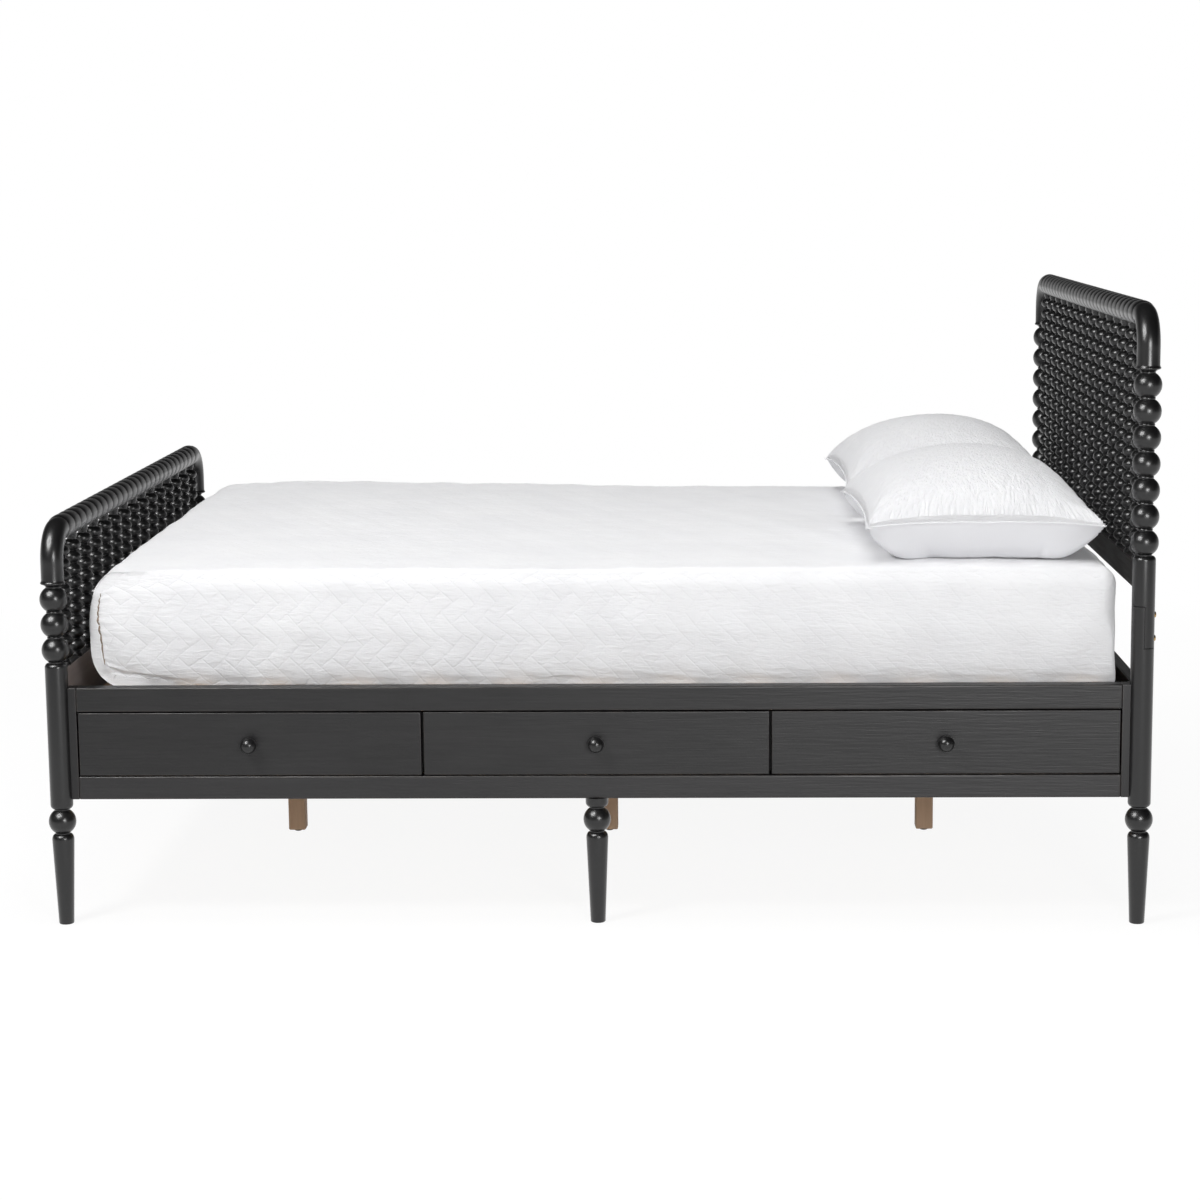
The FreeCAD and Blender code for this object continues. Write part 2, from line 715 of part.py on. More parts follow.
SLAT_LENGTH = f"2 * ({SIDE_RAIL_INSIDE} - slat_end_gap)"
SLAT_REACH = f"({BRACKET_REACH} - slat_bracket_gap - slat_width / 2)"
SLAT_PITCH = f"2 * {SLAT_REACH} / (slat_count - 1)"
slats = []
for k in range(count("slat_count")):
    slat_x = f"{k} * {SLAT_PITCH} - {SLAT_REACH}"
    slat = block(f"slat_{k + 1}", "slat_width", SLAT_LENGTH, "slat_thickness", slat_x, "0", SLAT_BOTTOM)
    slats.append(slat)
keep("slats", group("slats", slats))

BEAM_LENGTH = f"2 * {END_BOARD_INSIDE}"
keep("centre_beam", block("centre_beam", BEAM_LENGTH, "beam_width", "beam_height", "0", "0", BEAM_BOTTOM))
CENTRE_LEG_HEIGHT = f"({BEAM_BOTTOM} - glide_height)"
glides = []
for place_name, steps in (("foot", -1), ("middle", 0), ("head", 1)):
    leg_x = f"{steps} * centre_leg_spacing"
    name = f"centre_leg_{place_name}"
    leg = block(
        name, "centre_leg_width", "centre_leg_width", CENTRE_LEG_HEIGHT, leg_x, "0", "glide_height"
    )
    keep(name, leg)
    radius = size("glide_diameter / 2")
    disc = turning(count("fastener_flats"), [(radius, 0), (radius, size("glide_height"))])
    glide = formed(f"centre_leg_glide_{place_name}", disc)
    place(glide, leg_x, "0", "0")
    glides.append(glide)
keep("centre_leg_glides", group("centre_leg_glides", glides))


# Dividers behind the face frame, one on each side of every drawer, with a runner channel facing each drawer
DIVIDER_BOTTOM = f"({RAIL_BOTTOM} + divider_lift)"
DIVIDER_DEPTH = f"({SIDE_RAIL_INSIDE} - beam_width / 2)"
DIVIDER_MIDDLE = f"-({SIDE_RAIL_INSIDE} + beam_width / 2) / 2"
DIVIDER_STEPS = (-1.5, -0.5, 0.5, 1.5)
dividers = [
    block(
        f"drawer_divider_{k + 1}",
        "divider_thickness",
        DIVIDER_DEPTH,
        f"{CLEAT_BOTTOM} - {DIVIDER_BOTTOM}",
        f"{steps} * {DRAWER_PITCH}",
        DIVIDER_MIDDLE,
        DIVIDER_BOTTOM,
    )
    for k, steps in enumerate(DIVIDER_STEPS)
]
keep("drawer_dividers", group("drawer_dividers", dividers))

BOX_WIDTH = f"({DRAWER_PITCH} - divider_thickness - 2 * runner_space)"
BOX_BOTTOM = f"({OPENING_BOTTOM} + drawer_box_lift)"
BOX_HEIGHT = f"({CLEAT_BOTTOM} - drawer_box_headroom - {BOX_BOTTOM})"
BOX_START = f"-({SIDE_RAIL_OUTSIDE} - drawer_front_thickness)"
BOX_END = f"({BOX_START} + drawer_box_depth)"
BOX_INSIDE = f"({BOX_WIDTH} - 2 * drawer_board_thickness)"
RUNNER_MIDDLE = f"({BOX_BOTTOM} + runner_lift)"
RUNNER_BAR = "(runner_space - channel_thickness + channel_groove_depth - runner_tip_gap)"
BOTTOM_PANEL = f"({BOX_BOTTOM} + drawer_bottom_lift)"

# A channel's outline, open towards the drawer: X from the divider, Y up from the middle of the groove
GROOVE_HALF = "(runner_bar_height / 2 + running_clearance)"
GROOVE_FLOOR = "(channel_thickness - channel_groove_depth)"
CHANNEL_CORNERS = (
    ("0", "-channel_height / 2"),
    ("channel_thickness", "-channel_height / 2"),
    ("channel_thickness", f"-{GROOVE_HALF}"),
    (GROOVE_FLOOR, f"-{GROOVE_HALF}"),
    (GROOVE_FLOOR, GROOVE_HALF),
    ("channel_thickness", GROOVE_HALF),
    ("channel_thickness", "channel_height / 2"),
    ("0", "channel_height / 2"),
)
# A drawer side's outline: X from its inner face outwards, Y up from its lower edge, grooved for the bottom
SLOT_LOW = "(drawer_bottom_lift - joint_clearance)"
SLOT_HIGH = "(drawer_bottom_lift + drawer_bottom_thickness + joint_clearance)"
SLOT_FLOOR = "(drawer_groove_depth + joint_clearance)"
SIDE_CORNERS = (
    ("0", "0"),
    ("drawer_board_thickness", "0"),
    ("drawer_board_thickness", BOX_HEIGHT),
    ("0", BOX_HEIGHT),
    ("0", SLOT_HIGH),
    (SLOT_FLOOR, SLOT_HIGH),
    (SLOT_FLOOR, SLOT_LOW),
    ("0", SLOT_LOW),
)
# An outline's X to world X and its Y to world Z; the mirrored turn takes X the other way and pads forwards
OUTWARDS_HEAD = Rotation(Vector(1, 0, 0), 90)
OUTWARDS_FOOT = Rotation(Vector(0, 0, 1), 180).multiply(OUTWARDS_HEAD)


def profile_bar(name, corners, length, face_x, sign, start_y, z):
    """A bar along Y from an outline that grows from a face towards the head (sign 1) or the foot (-1)."""
    turn = OUTWARDS_HEAD if sign == HEAD else OUTWARDS_FOOT
    piece = bar(name, corners, length, turn)
    far_end = f"({start_y}) + ({length})"
    place(piece, face_x, far_end if sign == HEAD else start_y, z)
    return piece


def knob_shape():
    """A turned knob along Z with a spigot below its seat."""
    spigot, base = size("knob_spigot_diameter / 2"), size("knob_base_diameter / 2")
    neck, full, out = size("knob_neck_diameter / 2"), size("knob_diameter / 2"), size("knob_projection")
    stations = [(spigot, -size("knob_spigot_length")), (spigot, 0), (base, 0), (base, out * KNOB_BASE_SHARE)]
    stations += [(neck + (full - neck) * swell, out * along) for along, swell in KNOB_SHARES]
    return turning(count("turning_flats"), stations)


channels = []
for drawer, steps in DRAWERS.items():
    name = f"drawer_{drawer}"
    middle = f"{steps} * {DRAWER_PITCH}"
    front_bottom = f"{OPENING_BOTTOM} + drawer_reveal"
    front_height = f"({OPENING_HEIGHT} - 2 * drawer_reveal)"
    knob_height = f"{OPENING_BOTTOM} + {OPENING_HEIGHT} / 2"

    blank = block(
        name + "_front_blank",
        DRAWER_FRONT_WIDTH,
        "drawer_front_thickness",
        front_height,
        middle,
        f"{BOX_START} - drawer_front_thickness / 2",
        front_bottom,
    )
    hole = drill(
        name + "_knob_hole",
        "turning_flats",
        "knob_spigot_diameter",
        "knob_spigot_length + joint_clearance",
        middle,
        f"-{SIDE_RAIL_OUTSIDE}",
        knob_height,
        ALONG_Y,
    )
    keep(name + "_front", cut(name + "_front", blank, [hole]))
    knob = formed(name + "_knob", knob_shape())
    knob.Placement.Rotation = AGAINST_Y
    place(knob, middle, f"-{SIDE_RAIL_OUTSIDE}", knob_height)
    keep(name + "_knob", knob)

    sides, bars = [], []
    for end, sign in ENDS.items():
        inner_face = f"{middle} + {sign} * {BOX_INSIDE} / 2"
        outer_face = f"{middle} + {sign} * {BOX_WIDTH} / 2"
        divider_face = f"{middle} + {sign} * ({BOX_WIDTH} / 2 + runner_space)"
        sides.append(
            profile_bar(
                f"{name}_side_{end}",
                SIDE_CORNERS,
                "drawer_box_depth",
                inner_face,
                sign,
                BOX_START,
                BOX_BOTTOM,
            )
        )
        bars.append(
            block(
                f"{name}_runner_{end}",
                RUNNER_BAR,
                "runner_bar_length",
                "runner_bar_height",
                f"{outer_face} + {sign} * {RUNNER_BAR} / 2",
                f"{BOX_START} + runner_bar_length / 2",
                f"{RUNNER_MIDDLE} - runner_bar_height / 2",
            )
        )
        channels.append(
            profile_bar(
                f"{name}_channel_{end}",
                CHANNEL_CORNERS,
                "channel_length",
                divider_face,
                -sign,
                f"-{SIDE_RAIL_INSIDE}",
                RUNNER_MIDDLE,
            )
        )
    keep(name + "_sides", group(name + "_sides", sides))
    keep(name + "_runners", group(name + "_runners", bars))
    keep(
        name + "_back",
        block(
            name + "_back",
            BOX_INSIDE,
            "drawer_board_thickness",
            f"{BOX_HEIGHT} - drawer_bottom_lift - drawer_bottom_thickness",
            middle,
            f"{BOX_END} - drawer_board_thickness / 2",
            f"{BOTTOM_PANEL} + drawer_bottom_thickness",
        ),
    )
    keep(
        name + "_bottom",
        block(
            name + "_bottom",
            f"{BOX_INSIDE} + 2 * drawer_groove_depth",
            "drawer_box_depth",
            "drawer_bottom_thickness",
            middle,
            f"{BOX_START} + drawer_box_depth / 2",
            BOTTOM_PANEL,
        ),
    )
keep("drawer_channels", group("drawer_channels", channels))


# Mattress: rounded corners, rolled edges, sides drawn in between them, and a low crown
def rounded_ring(half_length, half_width, radius, z):
    """Points round a rectangle with rounded corners at one height."""
    steps = count("mattress_corner_count")
    points = []
    for quarter, (sx, sy) in enumerate(((1, 1), (-1, 1), (-1, -1), (1, -1))):
        middle = Vector(sx * (half_length - radius), sy * (half_width - radius), z)
        for step in range(steps + 1):
            angle = math.pi / 2 * (quarter + step / steps)
            points.append(middle + Vector(radius * math.cos(angle), radius * math.sin(angle), 0))
    return points


MATTRESS_LENGTH = f"(2 * {END_BOARD_INSIDE} - mattress_head_gap - mattress_foot_gap)"
MATTRESS_WIDTH = f"(2 * ({SIDE_RAIL_INSIDE} - mattress_side_gap))"
MATTRESS_MIDDLE = "(mattress_foot_gap - mattress_head_gap) / 2"
half_length, half_width = size(f"{MATTRESS_LENGTH} / 2"), size(f"{MATTRESS_WIDTH} / 2")
height, roll = size("mattress_height"), size("mattress_edge_roll")
shoulder, radius = height - size("mattress_crown"), size("mattress_corner_radius")
levels = (
    (0, roll),
    (roll, 0),
    (shoulder / 2, size("mattress_draw_in")),
    (shoulder - roll, 0),
    (shoulder, roll),
    (height, size("mattress_crown_inset")),
)
rings = [rounded_ring(half_length - inset, half_width - inset, radius, z) for z, inset in levels]
mattress = formed("mattress", faceted(rings, soft=True))
place(mattress, MATTRESS_MIDDLE, "0", SLAT_TOP)
keep("mattress", mattress)


# Pillows: four bowed sides that meet in points at the seam, fuller above it than below
def bowed_ring(half_length, half_width, bow, z):
    """Points round four sides between four corners, each side bowed out by a share of its length."""
    corners = [
        Vector(half_length, half_width, z),
        Vector(-half_length, half_width, z),
        Vector(-half_length, -half_width, z),
        Vector(half_length, -half_width, z),
    ]
    steps = count("pillow_side_count")
    points = []
    for k in range(4):
        along = corners[(k + 1) % 4] - corners[k]
        outwards = Vector(along.y, -along.x, 0)
        for step in range(steps):
            share = step / steps
            points.append(corners[k] + along * share + outwards * (4 * bow * share * (1 - share)))
    return points


MATTRESS_TOP = f"({SLAT_TOP} + mattress_height)"
PILLOW_X = f"({END_BOARD_INSIDE} - mattress_head_gap - pillow_end_gap - pillow_length / 2)"
for side, sign in SIDES.items():
    half_length, half_width = size("pillow_length / 2"), size("pillow_width / 2")
    height = size("pillow_height")
    rings = [
        bowed_ring(half_length * share, half_width * share, bow_share, height * along)
        for along, share, bow_share in PILLOW_SHARES
    ]
    pillow = formed(f"pillow_{side}", faceted(rings, soft=True))
    place(pillow, PILLOW_X, f"{sign} * (pillow_width + pillow_gap) / 2", f"{MATTRESS_TOP} + soft_clearance")
    keep(f"pillow_{side}", pillow)


doc.recompute()
failed = [item.Label for item in doc.Objects if "Invalid" in item.State or "Error" in item.State]
if failed:
    raise RuntimeError(f"these objects failed: {failed}")
unsound = [label for label, piece in pieces.items() if piece.Shape.isNull() or not piece.Shape.isValid()]
if unsound:
    raise RuntimeError(f"these pieces have no sound shape: {unsound}")
os.makedirs("parts", exist_ok=True)
for label, piece in pieces.items():
    piece.Shape.exportStep(os.path.join("parts", label + ".step"))
print(f"{len(pieces)} pieces, {sum(len(piece.Shape.Solids) for piece in pieces.values())} solids")
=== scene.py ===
"""Looks of a black platform bed: turned ends, drawers, a quilted mattress and two pillows."""
import logging
import math
from collections.abc import Sequence
from dataclasses import dataclass, replace
from enum import Enum
from functools import cache
from itertools import product

import bmesh
import bpy
import numpy as np
from bpy.types import Material, Node, NodeSocket, NodeTree, Object
from mathutils import Matrix, Vector


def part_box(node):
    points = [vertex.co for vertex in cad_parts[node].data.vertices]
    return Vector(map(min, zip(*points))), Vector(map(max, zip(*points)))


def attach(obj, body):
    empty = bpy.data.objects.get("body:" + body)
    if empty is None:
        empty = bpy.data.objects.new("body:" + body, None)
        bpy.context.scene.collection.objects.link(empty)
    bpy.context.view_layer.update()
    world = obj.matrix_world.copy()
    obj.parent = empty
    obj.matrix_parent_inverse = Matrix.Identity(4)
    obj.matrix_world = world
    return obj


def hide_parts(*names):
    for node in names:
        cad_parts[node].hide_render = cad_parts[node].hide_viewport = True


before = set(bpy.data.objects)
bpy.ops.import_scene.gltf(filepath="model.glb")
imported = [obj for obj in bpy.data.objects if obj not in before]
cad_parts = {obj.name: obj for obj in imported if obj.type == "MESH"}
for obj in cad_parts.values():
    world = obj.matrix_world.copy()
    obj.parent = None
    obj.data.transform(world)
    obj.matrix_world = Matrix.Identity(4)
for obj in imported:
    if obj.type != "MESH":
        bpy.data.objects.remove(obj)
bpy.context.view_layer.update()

TINY = 1e-6
WELD = 1e-5
WAVE_RANGE = (0.7, 1.5)
EDGE_SEGMENTS = 3
EDGE_SHARE = 0.4
EDGE_MARGIN = 1.5
FLAT = 0.9999
CORNERS = ((0, 0), (1, 0), (1, 1), (0, 1))
Profile = list[tuple[float, float]]
Pair = tuple[float, float]
Place = tuple[float, float, float]
Colour = tuple[float, float, float]
Faces = list[tuple[int, ...]]
BLACK: Colour = (0.0, 0.0, 0.0)
WHITE: Colour = (1.0, 1.0, 1.0)
log = logging.getLogger("bed")


class Axis(Enum):
    """The direction that a turning or the grain of a board runs in."""

    X = 0
    Y = 1
    Z = 2


class Side(Enum):
    """The side of the bed: near has the drawers, far is the plain one."""

    NEAR = -1
    FAR = 1


class End(Enum):
    """The end of the bed."""

    FOOT = -1
    HEAD = 1


class Sewing(Enum):
    """How a white cover is worked."""

    QUILTED = "quilted"
    CRINKLED = "crinkled"
    PLAIN = "plain"


# ---------------------------------------------------------------- mesh making


def around(flats: int) -> list[float]:
    """The angles of the points round a bar."""
    return [2 * math.pi * (k + 0.5) / flats for k in range(flats)]


class Shell:
    """A mesh being made: its points, its faces, and how worn each point is."""

    def __init__(self) -> None:
        """Starts with no points."""
        self.points: list[Sequence[float]] = []
        self.faces: Faces = []
        self.wear: list[float] = []

    def ring(self, points: Sequence[Sequence[float]]) -> list[int]:
        """Adds points that aren't worn.

        Args:
            points: the places of the points, in order round the ring.

        Returns:
            The numbers of the new points.
        """
        start = len(self.points)
        self.points.extend(tuple(p) for p in points)
        self.wear.extend([0.0] * len(points))
        return list(range(start, len(self.points)))

    def skin(self, rings: list[list[int]], closed: bool = False) -> None:
        """Joins rings in a row and closes the ends, or joins the last to the first.

        Args:
            rings: the rings in order, all of the same count.
            closed: true for a loop with no ends.
        """
        for low, high in zip(rings, rings[1:] + (rings[:1] if closed else [])):
            self.faces += [(low[k - 1], low[k], high[k], high[k - 1]) for k in range(len(low))]
        if not closed:
            self.faces += [tuple(reversed(rings[0])), tuple(rings[-1])]

    def turn(self, profile: Profile, axis: Axis, centre: Sequence[float], flats: int = 40) -> None:
        """Adds a lathe-turned solid.

        Args:
            profile: heights along the axis and radii, in order.
            axis: the axis of the lathe.
            centre: a point on that axis.
            flats: points round the turning.
        """
        first, second = (k for k in range(3) if k != axis.value)
        rings = []
        for height, radius in profile:
            ring = [list(centre) for _ in range(flats)]
            for point, angle in zip(ring, around(flats)):
                point[axis.value] = height
                point[first] += radius * math.cos(angle)
                point[second] += radius * math.sin(angle)
            rings.append(self.ring(ring))
        self.skin(rings)

    def sweep(self, line: Sequence[Vector], radii: Sequence[float], side: Vector,
              flats: int = 40, closed: bool = False) -> None:
        """Adds a round bar along a line.

        Args:
            line: the middle of the bar.
            radii: its radius at each point.
            side: a direction across the bar that never runs along it.
            flats: points round the bar.
            closed: true for a loop.
        """
        count, rings = len(line), []
        for k, middle in enumerate(line):
            before = line[k - 1] if closed else line[max(k - 1, 0)]
            after = line[(k + 1) % count] if closed else line[min(k + 1, count - 1)]
            ahead = (after - before).normalized()
            out = ahead.cross(side).normalized()
            over = out.cross(ahead).normalized()
            rings.append(self.ring([middle + radii[k] * (math.cos(a) * over + math.sin(a) * out)
                                    for a in around(flats)]))
        self.skin(rings, closed)

    def half_round(self, low: float, high: float, radius: float, centre: Sequence[float],
                   facing: float, ease: float, flats: int = 24) -> None:
        """Adds an upright half-round bar, the tongue of a half-lap joint.

        Args:
            low: its lower end.
            high: its upper end.
            radius: the radius of the post it is cut from.
            centre: the axis of that post.
            facing: +1 for the half on the +X side, -1 for the other.
            ease: how far its end edges are eased and its flat face set back.
            flats: spaces round the half circle.
        """
        rings = []
        for height, reach in ((low, radius - ease), (low + ease, radius),
                              (high - ease, radius), (high, radius - ease)):
            angles = [math.pi * (k / flats - 0.5) for k in range(flats + 1)]
            rings.append(self.ring([(centre[0] + facing * max(reach * math.cos(a), ease / 2),
                                     centre[1] + reach * math.sin(a), height) for a in angles]))
        self.skin(rings)

    def board(self, low: Sequence[float], high: Sequence[float], ease: float) -> None:
        """Adds a board with rounded edges, which carry the wear.

        Args:
            low: its lowest corner.
            high: its highest corner.
            ease: the radius of its edges, less where the board is thin.
        """
        block = bmesh.new()
        bmesh.ops.create_cube(block, size=1.0)
        for point in block.verts:
            point.co = Vector((low[k] + high[k]) / 2 + point.co[k] * (high[k] - low[k])
                              for k in range(3))
        ease = min(ease, EDGE_SHARE * min(high[k] - low[k] for k in range(3)))
        bmesh.ops.bevel(block, geom=list(block.edges), offset=ease, segments=EDGE_SEGMENTS,
                        profile=0.5, affect="EDGES")
        block.normal_update()
        broad = [f for f in block.faces if max(abs(c) for c in f.normal) > FLAT]
        edges = set(block.verts)
        bmesh.ops.inset_individual(block, faces=broad, thickness=EDGE_MARGIN * ease)
        block.verts.index_update()
        start = len(self.points)
        self.points.extend(tuple(v.co) for v in block.verts)
        self.wear.extend(1.0 if v in edges else 0.0 for v in block.verts)
        self.faces.extend(tuple(start + v.index for v in f.verts) for f in block.faces)
        block.free()

    def piece(self, name: str, crease: float = 32.0) -> Object:
        """Makes the object.

        Args:
            name: the name of the piece.
            crease: the angle in degrees above which an edge stays sharp.

        Returns:
            The new object, linked to the scene.
        """
        mesh = bpy.data.meshes.new(name)
        mesh.from_pydata(self.points, [], self.faces)
        work = bmesh.new()
        work.from_mesh(mesh)
        bmesh.ops.recalc_face_normals(work, faces=work.faces)
        work.to_mesh(mesh)
        work.free()
        mesh.attributes.new("wear", "FLOAT", "POINT").data.foreach_set("value", self.wear)
        mesh.shade_smooth()
        mesh.set_sharp_from_angle(angle=math.radians(crease))
        return linked(name, mesh)


def linked(name: str, data: bpy.types.ID) -> Object:
    """Makes an object in the scene.

    Args:
        name: its name.
        data: its mesh, lamp or camera.

    Returns:
        The object.
    """
    made = bpy.data.objects.new(name, data)
    bpy.context.scene.collection.objects.link(made)
    return made


def keep_vectors(piece: Object, name: str, values: np.ndarray) -> None:
    """Keeps three values for each point of a piece, which its material reads by their name."""
    kept = piece.data.attributes.new(name, "FLOAT_VECTOR", "POINT")
    kept.data.foreach_set("vector", values.astype(np.float32).ravel())


def solids_in(node: str) -> list[tuple[Vector, Vector]]:
    """Finds the separate solids of a CAD node.

    Args:
        node: the name of the node.

    Returns:
        The lowest and highest corner of each solid, ordered by place.
    """
    work = bmesh.new()
    work.from_mesh(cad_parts[node].data)
    bmesh.ops.remove_doubles(work, verts=work.verts, dist=WELD)
    left, found = set(work.verts), []
    while left:
        reached = [left.pop()]
        for point in reached:
            for edge in point.link_edges:
                other = edge.other_vert(point)
                if other in left:
                    left.remove(other)
                    reached.append(other)
        places = np.array([v.co for v in reached])
        found.append((Vector(places.min(0)), Vector(places.max(0))))
    work.free()
    return sorted(found, key=lambda box: [round(c, 4) for c in box[0] + box[1]])


def ripple(places: np.ndarray, length: float, seed: int, count: int = 7) -> np.ndarray:
    """A smooth, uneven field, the sum of a few waves in fixed chance directions.

    Args:
        places: points, one in each row.
        length: the usual length of a wave.
        seed: the seed of the directions.
        count: how many waves.

    Returns:
        One value for each point, mostly from -1 to 1.
    """
    chance = np.random.default_rng(seed)
    total = np.zeros(len(places))
    for _ in range(count):
        way = chance.normal(size=places.shape[1])
        way *= 2 * math.pi / (length * chance.uniform(*WAVE_RANGE) * np.linalg.norm(way))
        total += np.sin(places @ way + chance.uniform(0, 2 * math.pi))
    return total / math.sqrt(count)


def ramp(start: float, end: float, values: np.ndarray) -> np.ndarray:
    """A straight step from 0 at the start to 1 at the end."""
    return np.clip((values - start) / (end - start), 0, 1)


def smooth(start: float, end: float, values: np.ndarray) -> np.ndarray:
    """A smooth step from 0 at the start to 1 at the end."""
    share = ramp(start, end, values)
    return share * share * (3 - 2 * share)


# ---------------------------------------------------------------- lathe lines


def shoulder(start: float, wide: float, end: float, narrow: float, steps: int = 7) -> Profile:
    """A rounded shoulder that goes in from a wide part to a narrow one.

    Args:
        start: height where it is wide.
        wide: radius there.
        end: height where it is narrow.
        narrow: radius there.
        steps: spaces along the curve.

    Returns:
        The points of the curve.
    """
    turns = [0.5 * math.pi * k / steps for k in range(steps + 1)]
    return [(start + (end - start) * math.sin(t), narrow + (wide - narrow) * math.cos(t))
            for t in turns]


@dataclass(frozen=True)
class Bobbins:
    """Turned balls in a row, cut off at their necks, with a narrow ring between each two."""

    pitch: float
    half_tall: float
    radius: float
    neck: float
    swell: float
    steps: int = 14
    ring_shares: Place = (0.2, 0.5, 0.8)

    def row(self, low: float, count: int) -> Profile:
        """The lathe line of a row.

        Args:
            low: height where the row starts.
            count: how many balls.

        Returns:
            Heights and radii.
        """
        edge = math.acos(self.neck / self.radius)
        turns = [edge * (2 * k / self.steps - 1) for k in range(self.steps + 1)]
        reach = self.half_tall * math.sin(edge)
        space = self.pitch - 2 * reach
        points: Profile = []
        for k in range(count):
            middle = low + (k + 0.5) * self.pitch
            points += [(middle + self.half_tall * math.sin(t), self.radius * math.cos(t))
                       for t in turns]
            if k < count - 1:
                points += [(middle + reach + space * t,
                            self.neck + self.swell * math.sin(math.pi * t))
                           for t in self.ring_shares]
        return points


# ---------------------------------------------------------------- shader nodes


class Nodes:
    """A node tree, with short ways to add to it."""

    def __init__(self, tree: NodeTree) -> None:
        """Keeps the tree."""
        self.tree = tree

    def feed(self, node: Node, feeds: dict) -> None:
        """Links or sets inputs of a node.

        Args:
            node: the node.
            feeds: an output or a value for each named or numbered input.
        """
        for key, value in feeds.items():
            if isinstance(value, NodeSocket):
                self.tree.links.new(value, node.inputs[key])
            else:
                node.inputs[key].default_value = value

    def add(self, kind: str, feeds: dict | None = None, **settings: object) -> Node:
        """Adds a node.

        Args:
            kind: the node's type.
            feeds: an output or a value for each named or numbered input.
            settings: the node's own settings.

        Returns:
            The node.
        """
        node = self.tree.nodes.new(kind)
        for key, value in settings.items():
            setattr(node, key, value)
        self.feed(node, feeds or {})
        return node

    def calc(self, operation: str, *values: object) -> NodeSocket:
        """Adds a Math node and returns its output."""
        return self.add("ShaderNodeMath", dict(enumerate(values)), operation=operation).outputs[0]

    def total(self, start: object, *parts: tuple[object, float]) -> object:
        """Adds weighted values to a first one.

        Args:
            start: the first value.
            parts: the other values, each with its weight.

        Returns:
            The sum.
        """
        for value, weight in parts:
            start = self.calc("MULTIPLY_ADD", value, weight, start)
        return start

    def span(self, value: object, low: float, high: float, to_low: float = 0.0,
             to_high: float = 1.0) -> NodeSocket:
        """Adds a clamped Map Range node and returns its output."""
        feeds = {0: value, 1: low, 2: high, 3: to_low, 4: to_high}
        return self.add("ShaderNodeMapRange", feeds).outputs[0]

    def mix(self, share: object, first: object, second: object) -> NodeSocket:
        """Adds a Mix node for colours.

        Args:
            share: the share of the second.
            first: a colour or an output.
            second: a colour or an output.

        Returns:
            Its output.
        """
        first, second = ((*c, 1.0) if isinstance(c, tuple) else c for c in (first, second))
        feeds = {0: share, 6: first, 7: second}
        return self.add("ShaderNodeMix", feeds, data_type="RGBA").outputs[2]

    def noise(self, vector: object, scale: object, detail: float = 3.0,
              rough: float = 0.55) -> NodeSocket:
        """Adds a Noise Texture and returns its value."""
        feeds = {"Vector": vector, "Scale": scale, "Detail": detail, "Roughness": rough}
        return self.add("ShaderNodeTexNoise", feeds).outputs[0]

    def stretch(self, vector: object, by: Place) -> NodeSocket:
        """Adds a node that multiplies vectors and returns its output."""
        return self.add("ShaderNodeVectorMath", {0: vector, 1: by}, operation="MULTIPLY").outputs[0]

    def parts(self, vector: object) -> bpy.types.NodeOutputs:
        """Adds a node that splits a vector and returns its three outputs."""
        return self.add("ShaderNodeSeparateXYZ", {0: vector}).outputs

    def kept(self, name: str, output: str = "Vector") -> NodeSocket:
        """Adds a node that reads what is kept in the mesh and returns its output."""
        return self.add("ShaderNodeAttribute", attribute_name=name).outputs[output]

    def bump(self, strength: float, distance: float, height: object) -> NodeSocket:
        """Adds a Bump node and returns its output."""
        feeds = {"Strength": strength, "Distance": distance, "Height": height}
        return self.add("ShaderNodeBump", feeds).outputs[0]

    def group(self, tree: NodeTree, place: object, value: float) -> bpy.types.NodeOutputs:
        """Places a node group with its own values and returns its outputs."""
        return self.add("ShaderNodeGroup", {0: place, 1: value}, node_tree=tree).outputs

    def seen(self) -> NodeSocket:
        """Adds what is 1 for camera, glossy and transmission rays.

        Returns:
            Its output.
        """
        path = self.add("ShaderNodeLightPath").outputs
        both = self.calc("MAXIMUM", path["Is Camera Ray"], path["Is Glossy Ray"])
        return self.calc("MAXIMUM", both, path["Is Transmission Ray"])


def start_group(name: str, knob: str, *outputs: str) -> tuple[Nodes, NodeSocket, NodeSocket, Node]:
    """Starts a shader node group that is given a place and one value.

    Args:
        name: the group's name.
        knob: the name of the value.
        outputs: the names of its outputs, all values.

    Returns:
        The group's tree, the place, the value, and its output node.
    """
    tree = bpy.data.node_groups.new(name, "ShaderNodeTree")
    tree.interface.new_socket(name="Vector", in_out="INPUT", socket_type="NodeSocketVector")
    tree.interface.new_socket(name=knob, in_out="INPUT", socket_type="NodeSocketFloat")
    for label in outputs:
        tree.interface.new_socket(name=label, in_out="OUTPUT", socket_type="NodeSocketFloat")
    nodes = Nodes(tree)
    given = nodes.add("NodeGroupInput").outputs
    return nodes, given["Vector"], given[knob], nodes.add("NodeGroupOutput")


@cache
def grain_group() -> NodeTree:
    """Wood grain along the first axis: broad streaks, and fine pores for relief.

    Returns:
        The group.
    """
    nodes, place, fine, out = start_group("wood_grain", "Fineness", "Streaks", "Pores")
    drawn = nodes.stretch(place, (0.05, 1.0, 1.0))
    streaks = nodes.noise(drawn, fine, detail=4.0, rough=0.6)
    pores = nodes.noise(drawn, nodes.calc("MULTIPLY", fine, 5.0), detail=2.0)
    nodes.feed(out, {"Streaks": nodes.span(streaks, 0.3, 0.7),
                     "Pores": nodes.span(pores, 0.35, 0.65)})
    return nodes.tree


@cache
def cloud_group() -> NodeTree:
    """Slow, cloudy change over a surface.

    Returns:
        The group.
    """
    nodes, place, fine, out = start_group("cloudy", "Fineness", "Cloud")
    nodes.feed(out, {"Cloud": nodes.span(nodes.noise(place, fine, rough=0.5), 0.3, 0.7)})
    return nodes.tree


